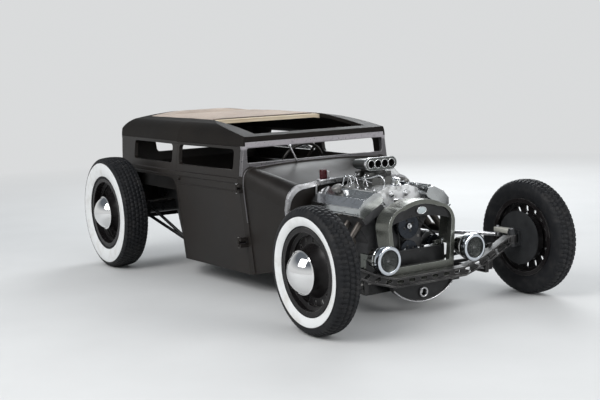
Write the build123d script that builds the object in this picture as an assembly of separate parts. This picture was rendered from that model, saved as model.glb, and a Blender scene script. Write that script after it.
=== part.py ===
from build123d import *
from math import atan2, cos, hypot, radians, sin
import os

# Hot rod: chopped two-door sedan body over a stepped frame, open V8, dropped drilled axle.
# Millimetres. X forward, Y to the car's left, Z up, ground at Z = 0.

# ---- Driving sizes
WHEELBASE = 2600
TRACK_FRONT = 1540
TRACK_REAR = 1550
FAR = 900                       # beyond the body to either side, for cuts
RUN_FIT = 0.06                  # radial clearance of a turning fit
SOFT_GAP = 0.4                  # space left round a soft piece
PANEL_GAP = 5                   # gap between a door and its frame
WALL = 26                       # whole thickness of a body wall with its inner frame

# ---- Wheels
FRONT_WHEEL = dict(tyre=345, width=140, rim=112, bead=216, track=TRACK_FRONT)   # 17 inch
REAR_WHEEL = dict(tyre=397, width=184, rim=150, bead=229, track=TRACK_REAR)     # 18 inch
FLANGE_H = 18                   # rim flange above the bead seat
CAP_R, CAP_DEEP = 118, 70
CAP_SEAT = 84                   # the dish's raised middle, from the wheel's middle plane
DISH_R = 146                    # foot of the raised middle
HUB_IN, HUB_OUT = -62, 34       # hub faces from the wheel's middle plane
STUB_R = 19                     # stub axle radius in the wheel's hub
DRUM_R = 148
PLATE_R = 160                   # brake backing plate
RIM_HOLES, HOLE_W = 16, 20

X_FRONT = (WHEELBASE + REAR_WHEEL["tyre"] - FRONT_WHEEL["tyre"]) / 2
X_REAR = X_FRONT - WHEELBASE
Z_FRONT = FRONT_WHEEL["tyre"]
Z_REAR = REAR_WHEEL["tyre"]

# ---- Body stations along X, half widths at the belt, heights
X_FIREWALL = X_FRONT - 750
X_POST = X_FRONT - 1130         # front edge of the doors
POST_T = 34                     # windshield post along X
X_WIND = X_POST + POST_T
X_DOOR_REAR = X_POST - 786
X_TAIL = X_REAR - 303
HALF_POST, HALF_DOOR_REAR, HALF_TAIL = 567, 610, 600
HALF_FIREWALL = 470
TAIL_CORNER = 130
Z_BOTTOM = 115
Z_BELT_LOW, Z_BELT_HIGH = 700, 726
Z_SILL = 775                    # lower edge of the side windows
Z_WINDOW_TOP = 905
Z_ROOF_CUT = 926                # the roof shell starts here
Z_CROWN = 1098
Z_TAIL_LOW = 300
BELT_PROUD = 7
TURN_UNDER = 58                 # how far the sides tuck in by their lower edge
Z_COWL_SEAM = 742               # cowl below, windshield frame above

# ---- Floor and frame
Z_FLOOR = 222
FLOOR_T = 10
X_RISER = X_DOOR_REAR - 170     # step up to the rear floor
Z_REAR_FLOOR = 562
CROSS_TOP = 345                 # front crossmember under the shell
RAIL_Y, RAIL_T, RAIL_H = 300, 45, 100
X_RAIL_FRONT = X_FRONT - 138
X_KICK = X_REAR + 314           # the rails step up behind this
KICK_RUN = 130
X_RAIL_REAR = X_TAIL + 120
HITCH_Y, HITCH_R = 400, 8           # two tow bolts through the tail crossmember
X_TUNNEL = X_FIREWALL - 376     # the tunnel is narrow behind this

# ---- Axles and steering
KINGPIN_Y = 640
KINGPIN_R = 12
EYE_H = 46                      # height of the axle's kingpin eye
AXLE_Z = 205                    # middle of the axle's straight part
AXLE_H, AXLE_W = 55, 54
SPRING_W = 45
ARM_BACK = 120                  # tie rod pins behind the kingpins
TIE_Z, TIE_R, TIE_PIN_R = 235, 11, 7
DRAG_Z = 360                    # drag link's height
LINK_GAP = 5.5                  # space between the swinging links and the steering box
COLUMN_Y = 250
WHEEL_HUB = (X_WIND - 580, COLUMN_Y, 700)
COLUMN_END = (X_FRONT - 426, COLUMN_Y, 319)
PITMAN_X, PITMAN_Y = COLUMN_END[0], 360   # steering box's upright shaft
SECTOR_R = 13
STEER_WHEEL_R = 185
SPRING_X = X_RAIL_FRONT + 25
SPRING_TOP, SPRING_END, SPRING_T = 206, 202, 30
REAR_SPRING_X, REAR_SPRING_TOP, REAR_SPRING_END = X_REAR - 170, 454, 424
SHACKLE_Y = 440
FRONT_ANCHOR = (X_FRONT - 506, 372, 172)
REAR_ANCHOR = (X_KICK + 55, 372, 172)
ROD_R = 11
NOSE_L = 170                        # pinion nose of the rear axle
COLUMN_PIN_R = 9
COLUMN_R = 22
PITMAN_LOW, PITMAN_HIGH = DRAG_Z - TIE_R - 14, DRAG_Z - TIE_R - 2

# ---- Engine
X_BLOCK_FRONT, X_BLOCK_REAR = X_FRONT - 226, X_FRONT - 690
X_COVER_FRONT, X_COVER_REAR = X_FRONT - 200, X_FRONT - 686
TIMING_HALF, BANK_BACK = 128, 95    # open corners beside the timing case, under the heads
Z_CRANK = 330
SCOOP_FRONT, SCOOP_REAR = X_FRONT - 420, X_FRONT - 590
SCOOP_LOW, SCOOP_HIGH, SCOOP_HALF = 782, 858, 113
PORT_R = 23
PORTS = 4
GEARBOX_TAIL = X_BLOCK_REAR - 756
X_GEAR_MOUNT = GEARBOX_TAIL + 330
PIPE_END_X = X_BLOCK_REAR - 966
PIPE_END_R, PIPE_END_L = 28, 80     # widened end that takes a tail pipe
ALT_Y, ALT_Z, ALT_R = 190, 352, 64
PULLEY_X, PULLEY_W = X_BLOCK_FRONT + 30, 20
PULLEYS = [(0, Z_CRANK, 62, 20), (0, Z_CRANK + 145, 74, 44),    # Y, Z, radius, width
           (ALT_Y, ALT_Z, 50, 20)]

# ---- Grille shell
SHELL_FRONT, SHELL_BACK = X_FRONT - 50, X_FRONT - 170
SHELL_HALF, SHELL_TOP = 240, 640
SHELL_FOOT = 360                # the shell's deep sides end here, above the crossmember
SHELL_WALL = 12
APRON_LOW, APRON_DEEP = 54, 34
RIM_W, OPENING_LOW, APRON_TOP = 26, 272, 170
CRANK_R, CRANK_Z = 20, 108

# ---- Lamps
LAMP_Y, LAMP_Z, LAMP_R, LAMP_L = 310, 340, 80, 165
LAMP_FRONT = X_FRONT + 44


def box(x0, x1, y0, y1, z0, z1):
    """Block between two corners."""
    return Pos((x0 + x1) / 2, (y0 + y1) / 2, (z0 + z1) / 2) * Box(x1 - x0, y1 - y0, z1 - z0)


def outline(start, *moves):
    """Face from a start and moves: (a, b) is a line, (ma, mb, a, b) an arc by its middle."""
    edges, at = [], start
    for move in moves:
        end = tuple(move[-2:])
        edges.append(Line(at, end) if len(move) == 2 else ThreePointArc(at, tuple(move[:2]), end))
        at = end
    if hypot(at[0] - start[0], at[1] - start[1]) > 1e-6:
        edges.append(Line(at, start))
    return make_face(edges)


def on_plane(face, axis, at):
    """Face drawn in (Y, Z), (X, Z) or (X, Y), placed square to an axis."""
    planes = {"x": Plane.YZ.offset(at), "y": Plane.XZ.offset(-at), "z": Plane.XY.offset(at)}
    return planes[axis] * face


def pull(face, axis, low, high):
    """Face drawn square to an axis, pulled along it from low to high."""
    return extrude(on_plane(face, axis, high if axis == "y" else low), high - low)


def rod(a, b, radius, wall=None):
    """Round bar or tube between two points."""
    a, b = Vector(*a), Vector(*b)
    ring = Circle(radius) - Circle(radius - wall) if wall else Circle(radius)
    return extrude(Plane(origin=a, z_dir=b - a) * ring, (b - a).length)


def bent_rod(points, radius, bend):
    """Round bar along straight stretches with rounded corners."""
    path = FilletPolyline(*points, radius=bend)
    return sweep(Plane(origin=path @ 0, z_dir=path % 0) * Circle(radius), path)


def turned(points, y_axis_at=(0, 0, 0)):
    """Solid of revolution about a line along Y; points are (radius, y) or arcs of them."""
    return Pos(*y_axis_at) * revolve(outline(points[0], *points[1:]), Axis.Y)


def dome(radius, at, tip):
    """Arc from a rim at (radius, at) to its tip on the axis, round about the axis."""
    centre = (tip * tip - at * at - radius * radius) / (2 * (tip - at))
    reach = tip - centre
    half = atan2(radius, (at - centre) * (1 if reach > 0 else -1)) / 2
    return abs(reach) * sin(half), centre + reach * cos(half), 0, tip


def flip(shape):
    """The same shape on the car's other side."""
    return mirror(shape, Plane.XZ)


def group(*shapes):
    """Separate solids that share one node."""
    return Compound(children=[s for shape in shapes for s in shape.solids()])


def both(shape):
    """A left-hand shape and its right-hand twin."""
    return group(shape, flip(shape))


def save(shape, node):
    shape.label = node
    export_step(shape, f"parts/{node}.step")


# ---- Body form

def half_at(x):
    """Half width of the body at the belt."""
    stations = [(X_TAIL, HALF_TAIL), (X_DOOR_REAR, HALF_DOOR_REAR), (X_POST, HALF_POST)]
    x = min(max(x, X_TAIL), X_POST)
    for (xa, ha), (xb, hb) in zip(stations, stations[1:]):
        if x <= xb:
            return ha + (hb - ha) * (x - xa) / (xb - xa)


def body_section(half, inset, bottom):
    """Cross-section with belt moulding, tumblehome and crowned roof."""
    h = half - inset
    proud = 0 if inset else BELT_PROUD
    side = [(h - TURN_UNDER, bottom), (h, Z_BELT_LOW - 6), (h + proud, Z_BELT_LOW),
            (h + proud, Z_BELT_HIGH), (h - 2, Z_BELT_HIGH + 6), (h - 6, Z_SILL),
            (h - 22, Z_WINDOW_TOP)]
    shoulder = (h - 46, 1006 - inset, h - 110, 1052 - inset)
    crown = (h - 330, 1088 - inset, 0, Z_CROWN - inset)
    return outline(side[0], *side[1:], shoulder, crown,
                   (-crown[0], crown[1], -shoulder[2], shoulder[3]),
                   (-shoulder[0], shoulder[1], -side[-1][0], side[-1][1]),
                   *[(-y, z) for y, z in reversed(side[:-1])])


def body_side_view(inset):
    """Side view of the cabin: long roof arc, rounded tail, tail tucked in below."""
    r, f = X_TAIL + inset, X_WIND - inset
    low = Z_BOTTOM - (50 if inset else 0)
    return outline((f, low), (f, 984 - inset),
                   (X_WIND - 280, 1030 - inset, X_WIND - 560, 1064 - inset),
                   (X_TAIL + 817, 1090 - inset, X_TAIL + 397, 1078 - inset),
                   (r + 92, 1036 - inset, r + 8, 945), (r, 890), (r + 48, Z_BELT_HIGH),
                   (r + 40, 560, r + 90, Z_TAIL_LOW), (r + 90, low))


def body_plan(inset):
    """Plan view that rounds the rear corners."""
    r, h, c = X_TAIL + inset, HALF_TAIL + 10 - inset, TAIL_CORNER - inset
    k = c * (1 - cos(radians(45)))
    wide, f = FAR, X_WIND + 1
    return outline((f, -wide), (f, wide), (r + c, wide), (r + c, h), (r + k, h - k, r, h - c),
                   (r, c - h), (r + k, k - h, r + c, -h), (r + c, -wide))


def body_block(inset=0):
    """Solid form of the cabin, shrunk by the inset; the shrunk one runs out below."""
    bottom = Z_BOTTOM - (60 if inset else 0)
    stations = [X_TAIL - 1, X_DOOR_REAR, X_POST, X_WIND + 1]
    block = loft([on_plane(body_section(half_at(x), inset, bottom), "x", x)
                  for x in stations], ruled=True)
    block &= pull(body_side_view(inset), "y", -1000, 1000)
    return block & pull(body_plan(inset), "z", 0, 1300)


OUTER = body_block()
INNER = body_block(WALL)
SHELL = OUTER - INNER

# Side openings: X from, X to, Z from, Z to
DOOR_WINDOW = (X_DOOR_REAR + 30, X_POST - 74, Z_SILL, Z_WINDOW_TOP)
QUARTER_WINDOW = (X_TAIL + 287, X_DOOR_REAR - 70, Z_SILL, Z_WINDOW_TOP)
REAR_WINDOW_HALF = 300

WELL_FRONT = X_DOOR_REAR - 24   # rear wheel well
WELL_REAR = X_TAIL + 62
WELL_TOP = Z_BELT_LOW - 22
WELL_DEEP = 130
WELL_WALL = 12


def side_window(window, radius=26):
    x0, x1, z0, z1 = window
    face = Pos((x0 + x1) / 2, (z0 + z1) / 2) * RectangleRounded(x1 - x0, z1 - z0, radius)
    return pull(face, "y", 0, FAR)


# ---- Doors and their hinges, drawn on the left side

HINGE_Y = HALF_POST + BELT_PROUD + 13
HINGE_R, HINGE_PIN_R, HINGE_REACH, LEAF_GAP = 10, 4, 30, 0.5
HINGES = [(668, 54), (330, 60)]     # middle height, length


def skin_y(x, z):
    """Outer face of the body side below the belt."""
    tuck = TURN_UNDER * (Z_BELT_LOW - z) / (Z_BELT_LOW - Z_BOTTOM)
    return half_at(x) - max(tuck, 0)


def hinge_leaf(z, length, side):
    """The door carries the middle knuckle of a hinge, the cowl the outer two."""
    third = length / 6
    spans = {"door": [(-third + LEAF_GAP, third - LEAF_GAP)],
             "cowl": [(-length / 2, -third), (third, length / 2)]}[side]
    away = -1 if side == "door" else 1
    leaves = []
    for low, high in spans:
        barrel = pull(Pos(X_POST, HINGE_Y) * Circle(HINGE_R), "z", z + low, z + high)
        x0, x1 = sorted([X_POST + away * HINGE_R * 0.5, X_POST + away * HINGE_REACH])
        arm = box(x0, x1, skin_y(X_POST, z) - 12, HINGE_Y + 2, z + low, z + high)
        leaves.append(barrel + arm)
    return leaves


def hinge_pin(z, length, radius):
    return pull(Pos(X_POST, HINGE_Y) * Circle(radius), "z", z - length / 2, z + length / 2)


def make_door():
    g = PANEL_GAP / 2
    door = SHELL & box(X_DOOR_REAR + g, X_POST - g, 0, FAR, Z_BOTTOM, Z_ROOF_CUT - g)
    door -= side_window(DOOR_WINDOW)
    for z, length in HINGES:
        door -= box(X_POST - HINGE_R - 4, X_POST + 5, HINGE_Y - HINGE_R - 3, FAR,
                    z - length / 2 - 3, z + length / 2 + 3)
        door += hinge_leaf(z, length, "door")[0] + hinge_pin(z, length - 1, HINGE_PIN_R)
    x = X_DOOR_REAR + 44
    return door + rod((x, half_at(x) - 12, 676), (x, half_at(x) + 15, 676), 9)


# ---- Cowl: rear and front outlines of one half, point by point

BAND_L, BAND_PROUD = 50, 7
COWL_WALL = 24
FIREWALL_T = 10
LEDGE_L = 22
COWL_REAR = [(HALF_POST - TURN_UNDER, Z_BOTTOM), (HALF_POST, Z_BELT_LOW),
             (HALF_POST - 3, Z_COWL_SEAM), (HALF_POST - 24, 786, HALF_POST - 90, 799),
             (220, 813, 0, 815)]
COWL_FRONT = [(HALF_FIREWALL - 34, 190), (HALF_FIREWALL + 4, 560), (HALF_FIREWALL - 4, 606),
              (HALF_FIREWALL - 40, 670, HALF_FIREWALL - 120, 697), (160, 713, 0, 715)]


def cowl_section(share, grow=0.0, drop=0):
    """Cowl outline at a share of the way from its rear edge to the firewall."""
    half = []
    for i, (rear, front) in enumerate(zip(COWL_REAR, COWL_FRONT)):
        move = [r + (f - r) * share for r, f in zip(rear, front)]
        for k in range(0, len(move), 2):
            centre = i == 4 and k == 2
            move[k] += 0 if centre else (grow if i < 4 else 0)
            move[k + 1] += grow if i >= 3 else (grow * 0.4 if i == 2 else 0)
        half.append(tuple(move))
    half[0] = (half[0][0], half[0][1] - drop)
    shoulder, crown = half[3], half[4]
    return outline(half[0], half[1], half[2], shoulder, crown,
                   (-crown[0], crown[1], -shoulder[2], shoulder[3]),
                   (-shoulder[0], shoulder[1], -half[2][0], half[2][1]),
                   (-half[1][0], half[1][1]), (-half[0][0], half[0][1]))


def cowl_share(x):
    return (x - X_POST) / (X_FIREWALL - X_POST)


def cowl_loft(x0, x1, grow=0.0, drop=0):
    return loft([on_plane(cowl_section(cowl_share(x), grow, drop), "x", x)
                 for x in (x0, x1)], ruled=True)


def make_cowl():
    cowl = cowl_loft(X_POST, X_FIREWALL) + cowl_loft(X_POST, X_POST + BAND_L, BAND_PROUD)
    cowl -= cowl_loft(X_POST, X_FIREWALL, -COWL_WALL, 100)
    cowl -= box(X_POST - 1, X_WIND, -FAR, FAR, Z_COWL_SEAM, FAR)
    for z, length in HINGES:
        for leaf in hinge_leaf(z, length, "cowl"):
            leaf -= hinge_pin(z, length + 10, HINGE_PIN_R + RUN_FIT)
            for side in (leaf, flip(leaf)):
                cowl += side
    return cowl


def make_firewall():
    """Plate closing the front of the cabin, open over the bellhousing."""
    plate = pull(cowl_section(1, -COWL_WALL), "x", X_FIREWALL - FIREWALL_T, X_FIREWALL)
    plate &= cowl_loft(X_POST, X_FIREWALL, -COWL_WALL, 100)
    plate -= box(X_FIREWALL - 50, X_FIREWALL + 50, -FAR, FAR, 0, Z_FLOOR)
    plate -= pull(tunnel_face(TUNNEL_FRONT_HALF, TUNNEL_FRONT_TOP), "x",
                  X_FIREWALL - 50, X_FIREWALL + 50)
    return plate - rod(WHEEL_HUB, COLUMN_END, COLUMN_R + 1)


def make_hood_ledge():
    """Bare-metal ledge round the firewall's front with two raised ribs."""
    x0, x1 = X_FIREWALL, X_FIREWALL + LEDGE_L
    ring = pull(cowl_section(1, 1), "x", x0, x1) - pull(cowl_section(1, -20, 40), "x", x0 - 1,
                                                        x1 + 1)
    for x in (x0 + 3, x1 - 8):
        ring += pull(cowl_section(1, 6), "x", x, x + 5) - \
            pull(cowl_section(1, -10, 40), "x", x - 1, x + 6)
    return ring - box(x0 - 5, x1 + 5, -600, 600, 0, 330)


# ---- Windshield frame, roof, quarters and tail

ROOF_HOLE_HALF = 425
ROOF_HOLE_FRONT = X_WIND - 62
ROOF_HOLE_REAR = X_TAIL + 215
FABRIC_FRONT = X_POST - 590
FABRIC_T = 6
BOW_W, BOW_H, BOWS = 42, 24, 4
WIND_HALF, WIND_LOW, WIND_HIGH = HALF_POST - 46, 820, 914


def make_windshield_frame():
    frame = SHELL & box(X_POST, X_WIND + 1, -FAR, FAR, Z_COWL_SEAM, Z_ROOF_CUT)
    opening = Pos(0, (WIND_LOW + WIND_HIGH) / 2) * RectangleRounded(
        2 * WIND_HALF, WIND_HIGH - WIND_LOW, 14)
    frame -= pull(opening, "x", X_POST - 10, X_WIND + 10)
    # wiper arm hanging from the header
    wiper = rod((X_WIND + 8, -214, 905), (X_WIND + 16, -172, 815), 4)
    pivot = rod((X_WIND - 6, -214, 910), (X_WIND + 12, -214, 910), 9)
    return frame + pivot + wiper


def make_roof_shell():
    roof = SHELL & box(X_TAIL - 10, X_WIND + 10, -FAR, FAR, Z_ROOF_CUT, 1200)
    return roof - box(ROOF_HOLE_REAR, ROOF_HOLE_FRONT, -ROOF_HOLE_HALF, ROOF_HOLE_HALF,
                      FAR, 1200)


def crown_layer(low, high, x0, x1, half):
    """Slice of the roof's crown between two depths below its outer face."""
    top = OUTER if low == 0 else body_block(low)
    return (top - body_block(high)) & box(x0, x1, -half, half, 980, 1200)


def make_roof_bows():
    bows = []
    pitch = (FABRIC_FRONT - ROOF_HOLE_REAR - BOW_W) / (BOWS - 1)
    for i in range(BOWS):
        x = FABRIC_FRONT - i * pitch
        x0 = FABRIC_FRONT - 10 if i == 0 else x - BOW_W
        bows.append(crown_layer(FABRIC_T + SOFT_GAP, FABRIC_T + BOW_H, x0, x0 + BOW_W,
                                ROOF_HOLE_HALF))
    return group(*bows)


def make_roof_fabric():
    return crown_layer(0, FABRIC_T, ROOF_HOLE_REAR + SOFT_GAP, FABRIC_FRONT,
                       ROOF_HOLE_HALF - SOFT_GAP)


def make_quarter_left():
    """Quarter panel with its window, wheel well and the well's walls, to the tail corner."""
    panel = SHELL & box(X_TAIL - 10, X_DOOR_REAR, TAIL_SPLIT, FAR, 0, Z_ROOF_CUT)
    panel -= side_window(QUARTER_WINDOW)
    panel -= box(X_TAIL - 20, WELL_FRONT - 60, 0, FAR, 0, Z_TAIL_LOW)
    r = 70
    well = outline((WELL_REAR, 50), (WELL_REAR, WELL_TOP - r),
                   (WELL_REAR + r * 0.293, WELL_TOP - r * 0.293, WELL_REAR + r, WELL_TOP),
                   (WELL_FRONT - r, WELL_TOP),
                   (WELL_FRONT - r * 0.293, WELL_TOP - r * 0.293, WELL_FRONT, WELL_TOP - r),
                   (WELL_FRONT, 50))
    panel -= pull(well, "y", 300, FAR)
    y1 = half_at(X_DOOR_REAR) - TURN_UNDER
    y0 = half_at(X_DOOR_REAR) - WELL_DEEP
    inside = OUTER & box(WELL_REAR - 14, WELL_FRONT + WELL_WALL, y0 - WELL_WALL, FAR, 0, 750)
    top = inside & box(WELL_REAR - 14, WELL_FRONT + WELL_WALL, 0, FAR, WELL_TOP,
                       WELL_TOP + WELL_WALL)
    front = inside & box(WELL_FRONT, WELL_FRONT + WELL_WALL, 0, FAR, Z_BOTTOM, WELL_TOP + 4)
    low_wall = inside & box(X_RISER, WELL_FRONT + 4, y0 - WELL_WALL, y0, Z_BOTTOM, WELL_TOP + 4)
    high_wall = inside & box(WELL_REAR - 14, X_RISER + 1, y0 - WELL_WALL, y0, Z_REAR_FLOOR,
                             WELL_TOP + 4)
    return panel + top + front + low_wall + high_wall


TAIL_SPLIT = HALF_TAIL - TAIL_CORNER - 20


def make_rear_panel():
    panel = SHELL & box(X_TAIL - 10, X_TAIL + 200, -TAIL_SPLIT, TAIL_SPLIT, Z_TAIL_LOW,
                        Z_ROOF_CUT)
    window = Pos(0, (Z_SILL + Z_WINDOW_TOP) / 2 + 4) * RectangleRounded(
        2 * REAR_WINDOW_HALF, Z_WINDOW_TOP - Z_SILL - 14, 24)
    return panel - pull(window, "x", X_TAIL - 20, X_TAIL + 250)


# ---- Floor, tunnel, dash, seats, steering

TUNNEL_T = 8
TUNNEL_FRONT_HALF, TUNNEL_FRONT_TOP = 205, 505
TUNNEL_HALF, TUNNEL_TOP = 128, 425
WELL_INNER = HALF_DOOR_REAR - WELL_DEEP - WELL_WALL


def tunnel_face(half, top):
    """Arch in (Y, Z) standing on the floor's lower face."""
    low = Z_FLOOR - 150
    return outline((half, low), (half, top - half), (0, top, -half, top - half), (-half, low))


def tunnel(shrink):
    faces = [(X_FIREWALL - FIREWALL_T + (1 if shrink else 0), TUNNEL_FRONT_HALF - shrink,
              TUNNEL_FRONT_TOP - shrink),
             (X_TUNNEL, TUNNEL_HALF - shrink, TUNNEL_TOP - shrink),
             (X_RISER - (20 if shrink else 0), TUNNEL_HALF - shrink, TUNNEL_TOP - shrink)]
    return loft([on_plane(tunnel_face(h, t), "x", x) for x, h, t in faces], ruled=True)


def make_floor():
    """Low floor with its tunnel, riser and the rear floor over the axle."""
    cabin = INNER & box(X_TAIL, X_POST, -FAR, FAR, 0, FAR)
    front = cowl_loft(X_POST, X_FIREWALL, -COWL_WALL, 100) & \
        box(X_POST, X_FIREWALL - FIREWALL_T, -FAR, FAR, 0, FAR)
    space = cabin + front
    half = WELL_INNER
    plan = outline((X_RISER, -half), (X_RISER, half), (WELL_FRONT + WELL_WALL, half),
                   (WELL_FRONT + WELL_WALL, FAR), (X_FIREWALL - FIREWALL_T, FAR),
                   (X_FIREWALL - FIREWALL_T, -FAR), (WELL_FRONT + WELL_WALL, -FAR),
                   (WELL_FRONT + WELL_WALL, -half))
    low = space & pull(plan, "z", Z_FLOOR, Z_FLOOR + FLOOR_T)
    riser = box(X_RISER, X_RISER + FLOOR_T, -half, half, Z_FLOOR, Z_REAR_FLOOR + FLOOR_T)
    high = box(X_TAIL, X_RISER + FLOOR_T, -half, half, Z_REAR_FLOOR,
               Z_REAR_FLOOR + FLOOR_T) & space
    arch = tunnel(0) & box(X_RISER, 1000, -FAR, FAR, Z_FLOOR, FAR)
    return low + riser + high + arch - tunnel(TUNNEL_T)


def make_dash():
    face = cowl_section(0, -COWL_WALL) & (Pos(0, 671) * Rectangle(2000, Z_COWL_SEAM - 600))
    dash = pull(face, "x", X_POST + 8, X_POST + POST_T - 6)
    return dash & cowl_loft(X_POST, X_FIREWALL, -COWL_WALL, 100)


SEAT_IN, SEAT_OUT = 142, 452
SEAT_FRONT, SEAT_BACK = X_DOOR_REAR + 310, X_RISER + 60


def make_seats():
    """Two low bucket seats, each one cushion and back."""
    z0 = Z_FLOOR + FLOOR_T + SOFT_GAP
    side = outline((SEAT_FRONT, z0), (SEAT_FRONT, 350), (SEAT_FRONT - 30, 385),
                   (SEAT_BACK + 110, 362), (SEAT_BACK + 70, 690), (SEAT_BACK + 45, 715,
                   SEAT_BACK + 15, 705), (SEAT_BACK + 12, z0))
    seat = pull(side, "y", SEAT_IN, SEAT_OUT)
    return both(seat)


def column_plane(along):
    """Plane square to the steering column, a distance forward of the wheel's hub."""
    a, b = Vector(*WHEEL_HUB), Vector(*COLUMN_END)
    way = (b - a).normalized()
    return Plane(origin=a + way * along, z_dir=way)


def link_arm(x, y, low, high, r_shaft):
    """Flat arm that reaches ARM_BACK rearwards from an upright shaft."""
    arm = pull(Pos(x, y) * Circle(r_shaft + 11), "z", low, high)
    arm += pull(Pos(x - ARM_BACK, y) * Circle(15), "z", low, high)
    return arm + box(x - ARM_BACK, x, y - 12, y + 12, low, high)


def make_pitman_arm():
    """Arm on the steering box's shaft, with the drag link's pin standing on it."""
    arm = link_arm(PITMAN_X, PITMAN_Y, PITMAN_LOW, PITMAN_HIGH, SECTOR_R)
    arm += pull(Pos(PITMAN_X - ARM_BACK, PITMAN_Y) * Circle(TIE_PIN_R), "z", PITMAN_LOW,
                DRAG_Z + TIE_R + 6)
    return arm - pull(Pos(PITMAN_X, PITMAN_Y) * Circle(SECTOR_R + RUN_FIT), "z", 0, 600)


def make_drag_link():
    """Bar from the pitman arm's pin to the left knuckle's upper arm."""
    a = (PITMAN_X - ARM_BACK, PITMAN_Y, DRAG_Z)
    b = (X_FRONT - ARM_BACK, KINGPIN_Y, DRAG_Z)
    bar = rod(a, b, TIE_R)
    for end in (a, b):
        bar += pull(Pos(*end[:2]) * Circle(17), "z", DRAG_Z - TIE_R - 1, DRAG_Z + TIE_R + 1)
    for end in (a, b):
        bar -= pull(Pos(*end[:2]) * Circle(TIE_PIN_R + RUN_FIT), "z", 0, 600)
    return bar


def make_steering_column():
    """Column from under the wheel to the steering box on the left rail."""
    column = rod(tuple(column_plane(30).origin), COLUMN_END, COLUMN_R)
    pin = extrude(column_plane(-14) * Circle(COLUMN_PIN_R), 60)
    x, z = COLUMN_END[0], COLUMN_END[2]
    gearbox = box(x - 34, x + 40, 214, PITMAN_Y, z - 34, PITMAN_LOW - LINK_GAP)
    gearbox += pull(Pos(PITMAN_X, PITMAN_Y) * Circle(30), "z", z - 34, PITMAN_LOW - LINK_GAP)
    gearbox += pull(Pos(PITMAN_X, PITMAN_Y) * Circle(SECTOR_R), "z", z - 34,
                    DRAG_Z - TIE_R - LINK_GAP)
    foot = box(x - 26, x + 34, RAIL_Y - 38, RAIL_Y + RAIL_T, Z_FLOOR, z - 30)
    hanger = box(X_POST + 10, X_POST + 24, COLUMN_Y - 14, COLUMN_Y + 14, 525, 600)
    return column + pin + gearbox + foot + hanger


def make_steering_wheel():
    hub_l = 34
    rim = column_plane(0) * Torus(STEER_WHEEL_R - 11, 11)
    hub = extrude(column_plane(-8) * Circle(26), hub_l)
    wheel = rim + hub
    for angle in (90, 210, 330):
        spoke = column_plane(0) * (Rot(0, 0, angle) * Pos(STEER_WHEEL_R / 2, 0, 0)
                                   * Box(STEER_WHEEL_R - 24, 22, 5))
        wheel += spoke
    return wheel - extrude(column_plane(-20) * Circle(COLUMN_PIN_R + RUN_FIT), 80)


# ---- Frame

def make_frame():
    """Two stepped rails joined by their crossmembers, front perch and engine mounts."""
    kick_end = X_KICK - KICK_RUN
    top, rear_top = Z_FLOOR, Z_REAR_FLOOR
    side = outline((X_RAIL_FRONT, top - RAIL_H), (X_RAIL_FRONT, top), (X_KICK, top),
                   (kick_end, rear_top), (X_RAIL_REAR, rear_top),
                   (X_RAIL_REAR, rear_top - RAIL_H), (kick_end - 80, rear_top - RAIL_H),
                   (X_KICK - 80, top - RAIL_H))
    rail = pull(side, "y", RAIL_Y, RAIL_Y + RAIL_T)
    frame = rail + flip(rail)
    y = RAIL_Y + 1
    x1 = X_RAIL_FRONT
    front = pull(outline((-y, top - RAIL_H), (-y, top), (-225, top + 45), (-200, CROSS_TOP),
                         (200, CROSS_TOP),
                         (225, top + 45), (y, top), (y, top - RAIL_H), (120, top - RAIL_H),
                         (105, 165), (-105, 165), (-120, top - RAIL_H)), "x", x1 - 30, x1)
    pad = box(x1 - 1, SPRING_X - SPRING_W / 2, -70, 70, SPRING_TOP - SPRING_T, SPRING_TOP)
    middle = box(X_GEAR_MOUNT - 30, X_GEAR_MOUNT + 30, -y, y, top - RAIL_H,
                 top - RAIL_H + 34)
    rear = box(REAR_SPRING_X - 30, REAR_SPRING_X + 30, -y, y, rear_top - 60, rear_top)
    rear += box(REAR_SPRING_X - 28, REAR_SPRING_X + 28, -60, 60, REAR_SPRING_TOP, rear_top)
    tail = box(X_RAIL_REAR, X_RAIL_REAR + 40, -y, y, rear_top - RAIL_H, rear_top)
    kick = box(X_KICK + 60, X_KICK + 110, -y, y, top - RAIL_H, top - RAIL_H + 34)
    for piece in (front, pad, middle, rear, tail, kick):
        frame += piece
    for y in (-HITCH_Y / 2, HITCH_Y / 2):
        frame -= pull(Pos(y, rear_top - RAIL_H / 2) * Circle(HITCH_R), "x", X_RAIL_REAR - 5,
                      X_RAIL_REAR + 45)
    return frame


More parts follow.
